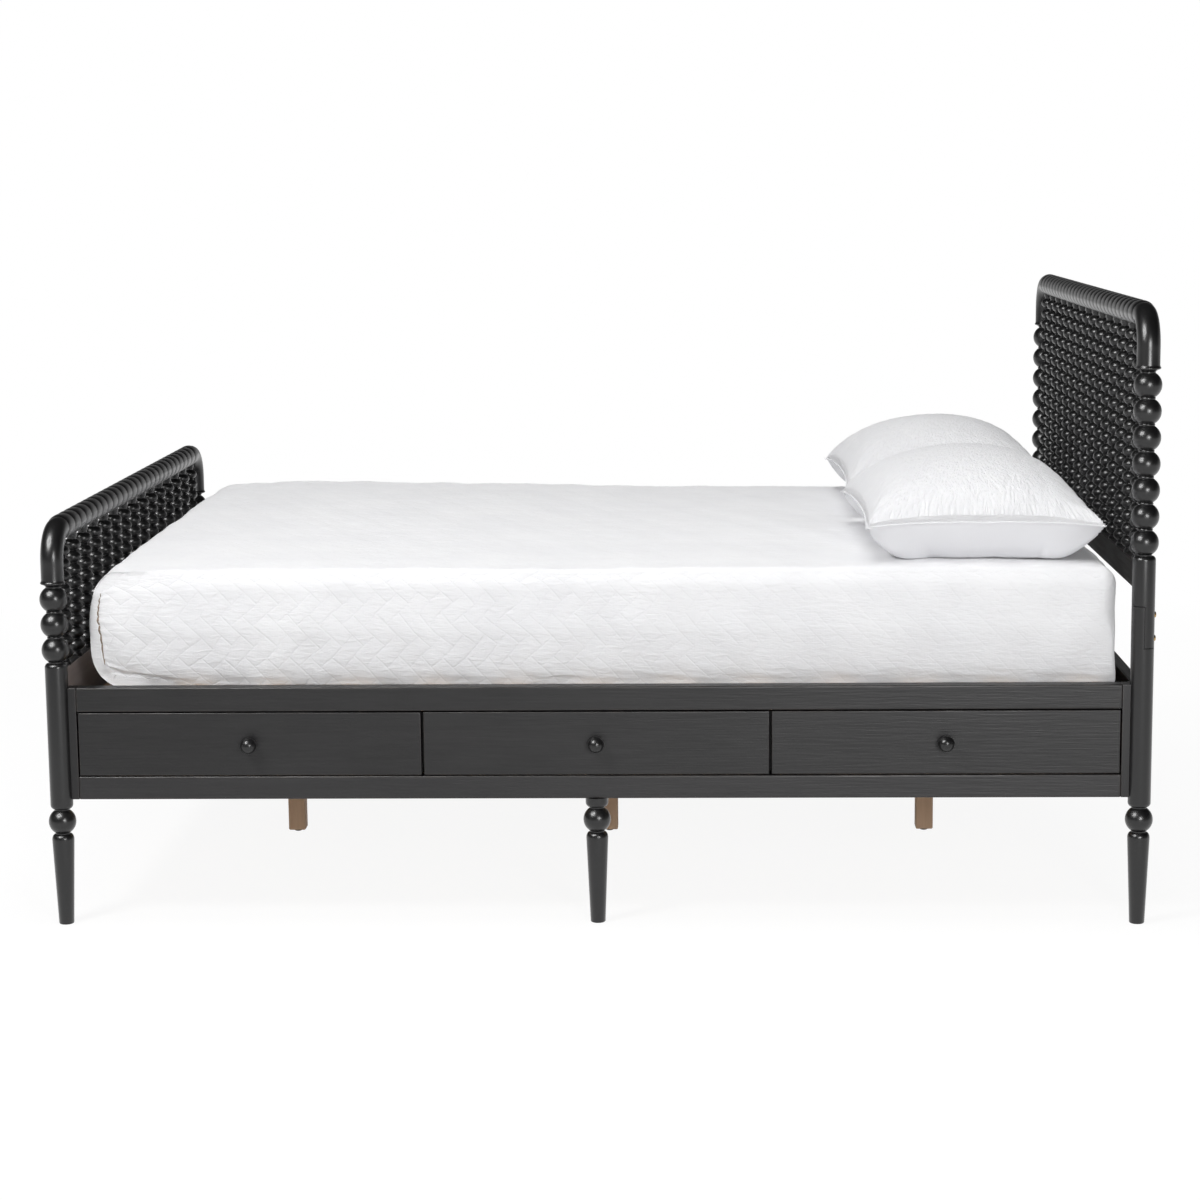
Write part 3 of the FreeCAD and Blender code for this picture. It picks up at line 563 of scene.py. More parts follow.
@cache
def wear_group() -> NodeTree:
    """Rubbed edges, broken up by noise, from the wear kept in the mesh.

    Returns:
        The group.
    """
    nodes, place, amount, out = start_group("rubbed_edge", "Amount", "Rubbed")
    patches = nodes.noise(place, 35.0, detail=4.0, rough=0.65)
    patches = nodes.span(patches, 0.42, 0.66, to_low=0.15)
    rubbed = nodes.calc("MULTIPLY", nodes.kept("wear", "Fac"), patches)
    nodes.feed(out, {"Rubbed": nodes.calc("MULTIPLY", rubbed, amount)})
    return nodes.tree


@cache
def weave_group() -> NodeTree:
    """Plain weave with slubs: a thread pattern that needs no unwrapping.

    Returns:
        The group.
    """
    nodes, place, fine, out = start_group("plain_weave", "Fineness", "Thread")
    wide = nodes.add("ShaderNodeVectorMath", {0: place, "Scale": fine}, operation="SCALE")
    waves = [(nodes.calc("SINE", part), 0.16) for part in nodes.parts(wide.outputs[0])]
    slubs = nodes.noise(place, 90.0, detail=2.0)
    nodes.feed(out, {"Thread": nodes.total(slubs, *waves)})
    return nodes.tree


@cache
def crinkle_group() -> NodeTree:
    """Soft creases of washed cotton.

    Returns:
        The group.
    """
    nodes, place, fine, out = start_group("cotton_crinkle", "Fineness", "Crease")
    bent = nodes.noise(place, fine, rough=0.6)
    ridge = nodes.calc("ABSOLUTE", nodes.calc("SUBTRACT", bent, 0.5))
    nodes.feed(out, {"Crease": nodes.span(ridge, 0.0, 0.16, 1.0, 0.0)})
    return nodes.tree


# ---------------------------------------------------------------- finishes


@dataclass(frozen=True)
class Finish:
    """What a piece is made of: the name of its material, and the name of a slot, which this script
    keeps but does not use.
    """

    name: str
    slot: str

    @cache
    def material(self) -> Material:
        """Makes the material once.

        Returns:
            The material.
        """
        material = bpy.data.materials.new(self.name)
        material.use_nodes = True
        nodes = Nodes(material.node_tree)
        place = nodes.add("ShaderNodeTexCoord").outputs["Object"]
        nodes.feed(material.node_tree.nodes["Principled BSDF"], self.feeds(nodes, place))
        return material

    def feeds(self, nodes: Nodes, place: NodeSocket) -> dict[str, object]:
        """What feeds the shader, different for each kind of finish.

        Args:
            nodes: the material's tree.
            place: object coordinates.

        Returns:
            An output or a value for each named input.
        """
        raise NotImplementedError


@dataclass(frozen=True)
class WoodFinish(Finish):
    """Lacquered or bare wood, with grain along one axis and rubbed edges."""

    dark: Colour
    light: Colour
    rubbed: Colour
    roughness: float
    along: Axis
    fineness: float = 22.0
    relief: float = 0.15
    rub: float = 0.35
    shine: float = 0.5
    coat: float = 0.0
    coat_roughness: float = 0.28
    cloud_fineness: float = 5.0
    pore_depth: float = 0.0006
    streak_share: float = 0.45
    cloud_share: float = 0.30
    pore_share: float = 0.25
    pore_dull: float = 0.06
    cloud_dull: float = 0.05

    def feeds(self, nodes: Nodes, place: NodeSocket) -> dict[str, object]:
        """What feeds the shader of wood.

        Args:
            nodes: the material's tree.
            place: object coordinates.

        Returns:
            An output or a value for each named input.
        """
        parts = nodes.parts(place)
        order = [self.along.value] + [k for k in range(3) if k != self.along.value]
        laid = nodes.add("ShaderNodeCombineXYZ", {n: parts[k] for n, k in enumerate(order)})
        grain = nodes.group(grain_group(), laid.outputs[0], self.fineness)
        streaks, pores = grain["Streaks"], grain["Pores"]
        cloud = nodes.group(cloud_group(), place, self.cloud_fineness)["Cloud"]
        worn = nodes.group(wear_group(), place, self.rub)["Rubbed"]
        share = nodes.total(nodes.calc("MULTIPLY", cloud, self.cloud_share),
                            (streaks, self.streak_share), (pores, self.pore_share))
        dull = nodes.total(self.roughness - self.cloud_dull, (pores, self.pore_dull),
                           (cloud, self.cloud_dull))
        return {"Base Color": nodes.mix(worn, nodes.mix(share, self.dark, self.light), self.rubbed),
                "Roughness": dull, "Normal": nodes.bump(self.relief, self.pore_depth, pores),
                "Specular IOR Level": self.shine, "Coat Weight": self.coat,
                "Coat Roughness": self.coat_roughness}


@dataclass(frozen=True)
class HardFinish(Finish):
    """Metal or moulded plastic, with cloudy tarnish and fine scratches."""

    colour: Colour
    tarnish: Colour
    roughness: float
    metallic: float
    cloud_fineness: float = 60.0
    scratch_fineness: float = 160.0
    scratch_dull: float = 0.12
    relief: float = 0.1
    scratch_depth: float = 0.0002

    def feeds(self, nodes: Nodes, place: NodeSocket) -> dict[str, object]:
        """What feeds the shader of metal or plastic.

        Args:
            nodes: the material's tree.
            place: object coordinates.

        Returns:
            An output or a value for each named input.
        """
        cloud = nodes.group(cloud_group(), place, self.cloud_fineness)["Cloud"]
        scratch = nodes.group(grain_group(), place, self.scratch_fineness)
        dull = nodes.total(self.roughness - self.scratch_dull / 2,
                           (scratch["Streaks"], self.scratch_dull))
        return {"Base Color": nodes.mix(cloud, self.colour, self.tarnish), "Roughness": dull,
                "Normal": nodes.bump(self.relief, self.scratch_depth, scratch["Pores"]),
                "Metallic": self.metallic}


@dataclass(frozen=True)
class ClothFinish(Finish):
    """White cotton cover: quilted, crinkled or plain."""

    colour: Colour
    # The darker colour: used for the cloudy tone, and for shade painted along the stitch lines and
    # in the creases.
    shade: Colour
    sewing: Sewing
    brick: float = 0.029
    stitch: float = 0.0026
    stitch_depth: float = 0.46
    stitch_painted_shade: float = 0.16
    quilt_draw: Place = (0.25, 0.6, 1.0)
    quilt_fineness: float = 75.0
    quilt_crease: float = 0.50
    crease: float = 0.95
    crease_painted_shade: float = 0.45
    fine_crease: float = 1.70
    fine_scale: float = 2.3
    thread_fineness: float = 2100.0
    thread: float = 0.10
    cloud_fineness: float = 6.0
    cloud_shade: float = 0.5
    relief: float = 0.55
    depth: float = 0.002
    roughness: float = 0.88
    sheen: float = 0.12
    shine: float = 0.25

    def feeds(self, nodes: Nodes, place: NodeSocket) -> dict[str, object]:
        """What feeds the shader of cloth.

        Args:
            nodes: the material's tree.
            place: object coordinates.

        Returns:
            An output or a value for each named input.
        """
        thread = nodes.group(weave_group(), place, self.thread_fineness)["Thread"]
        cloud = nodes.group(cloud_group(), place, self.cloud_fineness)["Cloud"]
        height = nodes.calc("MULTIPLY", thread, self.thread)
        share = nodes.calc("MULTIPLY", cloud, self.cloud_shade)
        if self.sewing is Sewing.QUILTED:
            sewn = self.stitched(nodes, nodes.parts(nodes.kept("quilt")))
            drawn = nodes.stretch(place, self.quilt_draw)
            crease = nodes.group(crinkle_group(), drawn, self.quilt_fineness)["Crease"]
            height = nodes.total(height, (crease, self.quilt_crease), (sewn, -self.stitch_depth))
            # The stitch lines are also darkened in colour: painted shade in the quilting's grooves.
            share = nodes.total(share, (sewn, self.stitch_painted_shade))
        elif self.sewing is Sewing.CRINKLED:
            drape = nodes.kept("drape")
            crease, fine = (nodes.group(crinkle_group(), drape, scale)["Crease"]
                            for scale in (1.0, self.fine_scale))
            height = nodes.total(height, (fine, self.fine_crease), (crease, self.crease))
            # The creases are also darkened in colour: painted shade in the creases.
            share = nodes.total(share, (crease, self.crease_painted_shade))
        return {"Base Color": nodes.mix(share, self.colour, self.shade),
                "Roughness": self.roughness, "Sheen Weight": self.sheen,
                "Normal": nodes.bump(self.relief, self.depth, height),
                "Specular IOR Level": self.shine}

    def stitched(self, nodes: Nodes, quilt: bpy.types.NodeOutputs) -> NodeSocket:
        """The stitch lines of herringbone quilting.

        Args:
            nodes: the material's tree.
            quilt: two places on the flat cover, and how strongly it is quilted there.

        Returns:
            A mask that is highest on a stitch line.
        """
        turn = 1.0 / (math.sqrt(2.0) * self.brick)
        first, second = (nodes.calc("MULTIPLY", nodes.calc(way, quilt[0], quilt[1]), turn)
                         for way in ("ADD", "SUBTRACT"))
        row = nodes.calc("SUBTRACT", nodes.calc("FLOOR", first), nodes.calc("FLOOR", second))
        kind = nodes.calc("FLOORED_MODULO", row, 4.0)
        gaps = []
        for value, low_open, high_open in ((first, 1.0, 0.0), (second, 2.0, 3.0)):
            part = nodes.calc("FRACT", value)
            for reach, opened in ((part, low_open), (nodes.calc("SUBTRACT", 1.0, part), high_open)):
                gaps.append(nodes.calc("ADD", reach, nodes.calc("COMPARE", kind, opened, 0.5)))
        near = nodes.calc("MINIMUM", nodes.calc("MINIMUM", *gaps[:2]),
                          nodes.calc("MINIMUM", *gaps[2:]))
        line = nodes.span(near, 0.0, self.stitch / self.brick, 1.0, 0.0)
        return nodes.calc("MULTIPLY", line, quilt[2])


@dataclass(frozen=True)
class FloorFinish(Finish):
    """A pale floor, which keeps the shadow and fades to white further out."""

    pale: Colour = (0.80, 0.80, 0.80)
    fade: Pair = (1.6, 3.6)
    own: float = 0.12
    glow: float = 0.91

    def feeds(self, nodes: Nodes, place: NodeSocket) -> dict[str, object]:
        """What feeds the shader of the floor.

        Args:
            nodes: the material's tree.
            place: object coordinates.

        Returns:
            An output or a value for each named input.
        """
        seen = nodes.seen()
        reach = nodes.add("ShaderNodeVectorMath", {0: place}, operation="LENGTH").outputs["Value"]
        far = nodes.span(reach, *self.fade)
        shown = nodes.mix(nodes.span(far, 0.0, 1.0, self.own, 0.0), BLACK, WHITE)
        glow = nodes.calc("MULTIPLY", seen, nodes.span(far, 0.0, 1.0, self.glow, 1.0))
        return {"Base Color": nodes.mix(seen, self.pale, shown), "Roughness": 1.0,
                "Specular IOR Level": 0.0, "Emission Color": nodes.mix(glow, BLACK, WHITE),
                "Emission Strength": 1.0}


BLACK_ACROSS = WoodFinish("black_lacquer_long", "black_board", (0.0055, 0.0052, 0.0056),
                          (0.0130, 0.0123, 0.0130), (0.055, 0.042, 0.035), 0.42, Axis.X,
                          fineness=55.0, relief=0.25)
# A lighter copy of the black lacquer for the low rail: painted sheen that stands for the floor's
# reflection, which is stronger low down.
BLACK_LOW_PAINTED_SHEEN = replace(BLACK_ACROSS, name="black_lacquer_low_painted_sheen", dark=(0.0125, 0.0120, 0.0128),
                    light=(0.0225, 0.0215, 0.0225))
BLACK_END = replace(BLACK_ACROSS, name="black_lacquer_end", along=Axis.Y)
BLACK_UPRIGHT = replace(BLACK_ACROSS, name="black_lacquer_upright", along=Axis.Z)
# The foot board's inner face: a grey-brown stain made far lighter than the lacquer so that this
# shaded face looks lit by the white mattress. It is partly stain and partly painted light.
THIN_STAIN_AND_PAINTED_LIGHT = WoodFinish("thin_inner_stain_and_painted_light", "black_board", (0.250, 0.208, 0.196),
                        (0.350, 0.305, 0.290), (0.08, 0.065, 0.06), 0.62, Axis.Y,
                        fineness=40.0, relief=0.3, shine=0.3)
BROWN_STAIN = WoodFinish("brown_inner_stain", "black_board", (0.0050, 0.0042, 0.0040),
                         (0.0140, 0.0105, 0.0085), (0.03, 0.022, 0.018), 0.50, Axis.Y,
                         fineness=40.0, relief=0.3, shine=0.2)
BLACK_TURNED = WoodFinish("black_turned_upright", "black_turned", (0.0042, 0.0041, 0.0044),
                          (0.0072, 0.0070, 0.0074), (0.03, 0.026, 0.024), 0.50, Axis.Z,
                          fineness=60.0, relief=0.04, shine=0.1, coat=1.0)
BLACK_TURNED_RAIL = replace(BLACK_TURNED, name="black_turned_rail", along=Axis.Y, coat=0.9)
PALE_WOOD = WoodFinish("pale_slat_wood", "pale_wood", (0.42, 0.27, 0.15), (0.56, 0.40, 0.25),
                       (0.60, 0.46, 0.31), 0.62, Axis.Y, fineness=30.0, relief=0.3, shine=0.35)
PALE_WOOD_LONG = replace(PALE_WOOD, name="pale_cleat_wood", along=Axis.X)
# The centre legs' wood is much lighter than the beam's, which is the same wood. This is painted
# light, so that the legs look lit in the shade under the bed; the beam below keeps the wood's own
# colours.
NATURAL_LEG_PAINTED_LIGHT = WoodFinish("natural_leg_wood_painted_light", "natural_wood", (0.66, 0.44, 0.29),
                          (0.80, 0.57, 0.40), (0.82, 0.62, 0.46), 0.6, Axis.Z,
                          fineness=40.0, relief=0.3, shine=0.35)
NATURAL_BEAM = replace(NATURAL_LEG_PAINTED_LIGHT, name="natural_beam_wood", dark=(0.42, 0.28, 0.18),
                       light=(0.58, 0.41, 0.28), rubbed=(0.62, 0.46, 0.33), along=Axis.X)
RUNNER_WOOD = WoodFinish("runner_hardwood", "runner_wood", (0.40, 0.25, 0.14), (0.52, 0.36, 0.22),
                         (0.55, 0.42, 0.28), 0.5, Axis.Y, fineness=45.0, relief=0.2, shine=0.4)
INNER_PANEL = WoodFinish("inner_panel_wood", "inner_panel", (0.50, 0.37, 0.24), (0.62, 0.49, 0.34),
                         (0.64, 0.52, 0.38), 0.6, Axis.Y, fineness=26.0, relief=0.2, shine=0.35)
BRASS = HardFinish("brass_bolt", "brass", (0.62, 0.43, 0.19), (0.40, 0.25, 0.10), 0.32, 1.0)
ZINC = HardFinish("zinc_plate", "zinc_steel", (0.62, 0.63, 0.65), (0.45, 0.46, 0.48), 0.42, 1.0)
GLIDE = HardFinish("glide_plastic_black", "glide_plastic", (0.012,) * 3, (0.022,) * 3, 0.5, 0.0)
QUILT = ClothFinish("mattress_quilt", "mattress_cover", (0.86, 0.86, 0.87), (0.79, 0.79, 0.81),
                    Sewing.QUILTED)
ZIP_TAPE = ClothFinish("mattress_zip_tape", "mattress_cover", (0.30, 0.235, 0.185),
                       (0.20, 0.150, 0.115), Sewing.PLAIN)
PILLOW_COTTON = ClothFinish("pillow_cotton", "pillow_cover", (0.87, 0.87, 0.88), (0.82, 0.82, 0.84),
                            Sewing.CRINKLED)
# The underside is the same white cloth made a little darker: painted shade on the side that faces
# down.
PILLOW_UNDERSIDE_PAINTED_SHADE = ClothFinish("pillow_underside_painted_shade", "pillow_cover", (0.82, 0.82, 0.84), (0.78, 0.78, 0.80),
                            Sewing.PLAIN)
PALE_FLOOR = FloorFinish("pale_floor", "floor")


def fit(piece: Object, body: str, finish: Finish, *nodes: str) -> Object:
    """Dresses a piece and sets it on its body.

    Args:
        piece: the piece.
        body: the CAD body that it moves with.
        finish: its finish.
        nodes: the CAD nodes that it stands for.

    Returns:
        The piece.
    """
    if not piece.data.materials:
        piece.data.materials.append(finish.material())
    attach(piece, body)
    if nodes:
        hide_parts(*nodes)
    log.info("made %s on %s, %d faces", piece.name, body, len(piece.data.polygons))
    return piece


def eased(node: str, body: str, finish: WoodFinish, ease: float) -> Object:
    """Makes the boards of a CAD node with eased edges.

    Args:
        node: the CAD node.
        body: the body that they move with.
        finish: their finish.
        ease: the radius of their edges.

    Returns:
        The piece.
    """
    shell = Shell()
    for low, high in solids_in(node):
        shell.board(low, high, ease)
    return fit(shell.piece(f"eased_{node}"), body, finish, node)


def turned(node: str, body: str, finish: WoodFinish, line: Profile, axis: Axis,
           places: Sequence[Place], flats: int = 40, crease: float = 32.0) -> None:
    """Turns the pieces of a CAD node on the lathe.

    Args:
        node: the CAD node.
        body: the body that they move with.
        finish: their finish.
        line: heights along the axis and radii.
        axis: the axis of the lathe.
        places: a point on the axis of each piece.
        flats: points round the turning.
        crease: the angle in degrees above which an edge stays sharp.
    """
    shell = Shell()
    for place in places:
        shell.turn(line, axis, place, flats)
    fit(shell.piece(f"turned_{node}", crease), body, finish, node)


def dress(node: str, finish: Finish) -> None:
    """Gives a CAD node that keeps its shape a better material.

    Args:
        node: the CAD node.
        finish: its finish.
    """
    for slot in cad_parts[node].material_slots:
        slot.material = finish.material()
    log.info("dressed %s", node)


# ---------------------------------------------------------------- bed frame


@dataclass(frozen=True)
class TurnedLeg:
    """The tapered foot, ball and cup below the rails, the same on every post and middle leg."""

    tip: float = 0.0140
    top: float = 0.0205
    shaft: float = 0.0210
    toe_round: float = 0.0020
    toe_bend: Pair = (0.0006, 0.0008)
    shoulder_start: float = 0.1625
    ball_low: float = 0.1730
    cup: float = 0.0085
    bobbins: Bobbins = Bobbins(pitch=0.04765, half_tall=0.0255, radius=0.0255, neck=0.0135,
                               swell=0.0009)

    def line(self) -> Profile:
        """The lathe line from the floor up to the shaft.

        Returns:
            Heights and radii.
        """
        neck, cup_low = self.bobbins.neck, self.ball_low + self.bobbins.pitch
        toe = [(0.0, self.tip - self.toe_round), (self.toe_bend[0], self.tip - self.toe_bend[1]),
               (self.toe_round, self.tip)]
        taper = shoulder(self.shoulder_start, self.top, self.ball_low, neck)
        cup = shoulder(cup_low + self.cup, self.shaft, cup_low, neck)
        return toe + taper + self.balls(self.ball_low, 1) + cup[::-1]

    def balls(self, low: float, count: int) -> Profile:
        """A row of balls up to the neck above them."""
        end = (low + count * self.bobbins.pitch, self.bobbins.neck)
        return self.bobbins.row(low, count) + [end]


@dataclass
class BedEnd:
    """The footboard or the headboard: posts, elbows, ring-turned rail, spindles and boards."""

    end: End
    straight_top: float
    board_top: float
    ball_count: int
    bead_count: int
    post_axis: float = 1.000
    post_out: float = 0.725
    post_bevel: float = 0.0080
    foot_shaft_low: float = 0.24
    lap_gap: float = 0.0003
    lap_ease: float = 0.0006
    lap_sink: float = 0.001
    elbow_rise: float = 0.1010
    elbow_bend: float = 0.0570
    elbow_tail: float = 0.0030
    elbow_steps: int = 22
    tube: float = 0.0210
    collar: tuple[Pair, ...] = (
        (0.0, 0.0138), (0.0016, 0.0150), (0.0032, 0.0174), (0.0044, 0.0204), (0.0052, 0.0222),
        (0.0062, 0.0228), (0.0074, 0.0228), (0.0084, 0.0222), (0.0096, 0.0214), (0.0125, 0.0210))
    rail_crest: float = 0.0235
    rail_groove: float = 0.0208
    ring_count: int = 28
    ring_steps: int = 12
    ring_powers: Pair = (3.0, 0.8)
    spindle_count: int = 15
    spindle_span: float = 0.6545
    spindle_ends: Pair = (0.0115, 0.0105)
    spindle_cove: Pair = (0.001, 0.004)
    tenon: float = 0.002
    board_ease: float = 0.002
    inner_facing: float = 0.95
    beads: Bobbins = Bobbins(pitch=0.0242, half_tall=0.0123, radius=0.0170, neck=0.0088,
                             swell=0.0011, steps=10)
    leg: TurnedLeg = TurnedLeg()

    def __post_init__(self) -> None:
        """Works out the shared places."""
        self.word = "footboard" if self.end is End.FOOT else "headboard"
        self.x = self.end.value * self.post_axis
        self.balls_low = self.straight_top + self.post_bevel
        self.post_top = self.balls_low + self.ball_count * self.leg.bobbins.pitch
        self.rail_axis = self.post_top + self.elbow_rise

    def build(self) -> None:
        """Makes every piece of this end."""
        for side in Side:
            self.posts(side)
            self.elbow(side)
        self.top_rail()
        self.spindles()
        # The foot board's inner face gets a pale stain that also carries painted light; the head's
        # boards get a dark brown stain.
        boards = {End.FOOT: (("foot_end_board", THIN_STAIN_AND_PAINTED_LIGHT),),
                  End.HEAD: (("head_end_board", BROWN_STAIN),
                             ("headboard_panel_rail", BROWN_STAIN))}
        for node, stain in boards[self.end]:
            self.stain_inside(eased(node, "frame", BLACK_END, self.board_ease), stain)

    def stain_inside(self, board: Object, stain: WoodFinish) -> None:
        """Gives the face of a board that looks at the mattress a stain in place of lacquer; at the
        foot, a pale stain that also holds painted light.

        Args:
            board: the board.
            stain: the stain.
        """
        board.data.materials.append(stain.material())
        for face in board.data.polygons:
            face.material_index = int(-self.end.value * face.normal.x > self.inner_facing)

    def upper_line(self, start: float) -> Profile:
        """The lathe line of the shaft and the balls above it.

        Args:
            start: height where it starts.

        Returns:
            Heights and radii.
        """
        bevel = shoulder(self.straight_top, self.leg.shaft, self.balls_low, self.leg.bobbins.neck)
        return [(start, self.leg.shaft)] + bevel + self.leg.balls(self.balls_low, self.ball_count)

    def posts(self, side: Side) -> None:
        """Turns the post on one side, in two lapped parts at the head.

        Args:
            side: the side.
        """
        where, word = (self.x, side.value * self.post_out, 0.0), side.name.lower()
        if self.end is End.FOOT:
            line = self.leg.line() + self.upper_line(self.foot_shaft_low)
            turned(f"footboard_post_{word}", "frame", BLACK_TURNED, line, Axis.Z, [where])
            return
        base, upper = f"headboard_post_base_{word}", f"headboard_post_top_{word}"
        lap_low, lap_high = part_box(upper)[0].z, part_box(base)[1].z
        radius, ease = self.leg.shaft, self.lap_ease
        below = self.leg.line() + [(lap_low - ease, radius), (lap_low, radius - ease)]
        above = [(lap_high, radius - ease)] + self.upper_line(lap_high + ease)
        for node, line, low, high, facing in (
                (base, below, lap_low - self.lap_sink, lap_high - self.lap_gap, -1.0),
                (upper, above, lap_low + self.lap_gap, lap_high + self.lap_sink, 1.0)):
            shell = Shell()
            shell.turn(line, Axis.Z, where)
            shell.half_round(low, high, radius, where, facing, ease)
            fit(shell.piece(f"turned_{node}"), "frame", BLACK_TURNED, node)

    def elbow(self, side: Side) -> None:
        """Makes the bent elbow with its flared collar.

        Args:
            side: the side.
        """
        y, inward = side.value * self.post_out, -side.value
        line = [Vector((self.x, y, self.post_top + height)) for height, _ in self.collar]
        for k in range(self.elbow_steps + 1):
            angle = 0.5 * math.pi * k / self.elbow_steps
            line.append(Vector((self.x, y + inward * self.elbow_bend * (1 - math.cos(angle)),
                                self.rail_axis - self.elbow_bend * (1 - math.sin(angle)))))
        line.append(line[-1] + Vector((0.0, inward * self.elbow_tail, 0.0)))
        radii = [radius for _, radius in self.collar]
        radii += [self.tube] * (len(line) - len(radii))
        shell = Shell()
        shell.sweep(line, radii, Vector((1.0, 0.0, 0.0)))
        node = f"{self.word}_elbow_{side.name.lower()}"
        fit(shell.piece(f"bent_{node}"), "frame", BLACK_TURNED, node)

    def top_rail(self) -> None:
        """Turns the top rail, a row of low rounded rings."""
        reach = self.post_out - self.elbow_bend - self.elbow_tail
        pitch, high = 2 * reach / self.ring_count, self.rail_crest - self.rail_groove
        flat, full = self.ring_powers
        line: Profile = []
        for k, n in product(range(self.ring_count), range(self.ring_steps)):
            t = n / self.ring_steps
            swell = (1 - abs(2 * t - 1) ** flat) ** full
            line.append((-reach + (k + t) * pitch, self.rail_groove + high * swell))
        line.append((reach, self.rail_groove))
        turned(f"{self.word}_top_rail", "frame", BLACK_TURNED_RAIL, line, Axis.Y,
               [(self.x, 0.0, self.rail_axis)], flats=48, crease=60.0)

    def spindles(self) -> None:
        """Turns the row of bobbin spindles between the board and the top rail."""
        rail_low, neck = self.rail_axis - self.rail_crest, self.beads.neck
        span = self.bead_count * self.beads.pitch
        start = 0.5 * (self.board_top + rail_low - span)
        end = start + span
        (foot, head), (near, far) = self.spindle_ends, self.spindle_cove
        line = [(self.board_top - self.tenon, foot), (start - far, foot), (start - near, neck)]
        line += self.beads.row(start, self.bead_count)
        line += [(end + near, neck), (end + far, head), (rail_low + self.tenon, head)]
        shares = [2 * k / (self.spindle_count - 1) - 1 for k in range(self.spindle_count)]
        turned(f"{self.word}_spindles", "frame", BLACK_TURNED, line, Axis.Z,
               [(self.x, self.spindle_span * share, 0.0) for share in shares], flats=22)


@dataclass
class Platform:
    """The rails, middle legs, slats and what carries the slats."""

    leg: TurnedLeg = TurnedLeg()
    leg_out: float = 0.715
    leg_top: float = 0.23905
    bolt_head: float = 0.0060
    bolt_shank: Pair = (0.0028, 0.0030)
    bolt_line: tuple[Pair, ...] = ((0.0054, 1.0), (0.0026, 1.0), (0.0010, 0.86), (0.0002, 0.62),
                                   (0.0, 0.48), (0.0004, 0.44), (0.0022, 0.40))
    bolt_under: float = 0.0055
    glide_line: tuple[Pair, ...] = ((0.0, 0.0035), (0.1, 0.0060), (0.3, 0.0080), (0.6, 0.0090),
                                    (1.0, 0.0090))
    boards: tuple[tuple[str, WoodFinish, float], ...] = (
        # The near bottom rail takes the lighter black, which holds a painted reflection of the
        # floor.
        ("near_top_rail", BLACK_ACROSS, 0.002), ("near_bottom_rail", BLACK_LOW_PAINTED_SHEEN, 0.002),
        ("far_side_rail", BLACK_ACROSS, 0.002), ("near_stile_foot", BLACK_UPRIGHT, 0.0012),
        ("near_stile_head", BLACK_UPRIGHT, 0.0012), ("far_slat_cleat", PALE_WOOD_LONG, 0.0015),
        ("near_slat_cleat", PALE_WOOD_LONG, 0.0015), ("slats", PALE_WOOD, 0.003),
        # The centre legs take the lightened wood, which holds painted light.
        ("centre_beam", NATURAL_BEAM, 0.002), ("centre_leg_foot", NATURAL_LEG_PAINTED_LIGHT, 0.003),
        ("centre_leg_middle", NATURAL_LEG_PAINTED_LIGHT, 0.003), ("centre_leg_head", NATURAL_LEG_PAINTED_LIGHT, 0.003),
        ("drawer_dividers", BLACK_UPRIGHT, 0.001))

    def build(self) -> None:
        """Makes every piece of the platform."""
        for node, finish, ease in self.boards:
            eased(node, "frame", finish, ease)
        line = self.leg.line() + [(self.leg_top, self.leg.shaft)]
        for side in Side:
            turned(f"{side.name.lower()}_middle_leg", "frame", BLACK_TURNED, line, Axis.Z,
                   [(0.0, side.value * self.leg_out, 0.0)])
        dress("drawer_channels", RUNNER_WOOD)
        dress("corner_brackets", ZINC)
        dress("corner_bracket_bolts", ZINC)
        self.glides()
        self.lap_bolts()

    def glides(self) -> None:
        """Makes the domed nail-on glides under the centre legs."""
        shell = Shell()
        for low, high in solids_in("centre_leg_glides"):
            line = [(low.z + share * (high.z - low.z), radius) for share, radius in self.glide_line]
            shell.turn(line, Axis.Z, (low + high) / 2, flats=28)
        fit(shell.piece("moulded_centre_leg_glides"), "frame", GLIDE, "centre_leg_glides")

    def lap_bolts(self) -> None:
        """Makes the brass bolts of the lap joints, each with a domed head and a socket."""
        shell = Shell()
        for low, high in solids_in("headboard_lap_bolts"):
            line = [(low.x, self.bolt_shank[0]), (high.x - self.bolt_under, self.bolt_shank[1])]
            line += [(high.x - depth, self.bolt_head * share) for depth, share in self.bolt_line]
            shell.turn(line, Axis.X, (low + high) / 2, flats=24)
        fit(shell.piece("domed_headboard_lap_bolts"), "frame", BRASS, "headboard_lap_bolts")


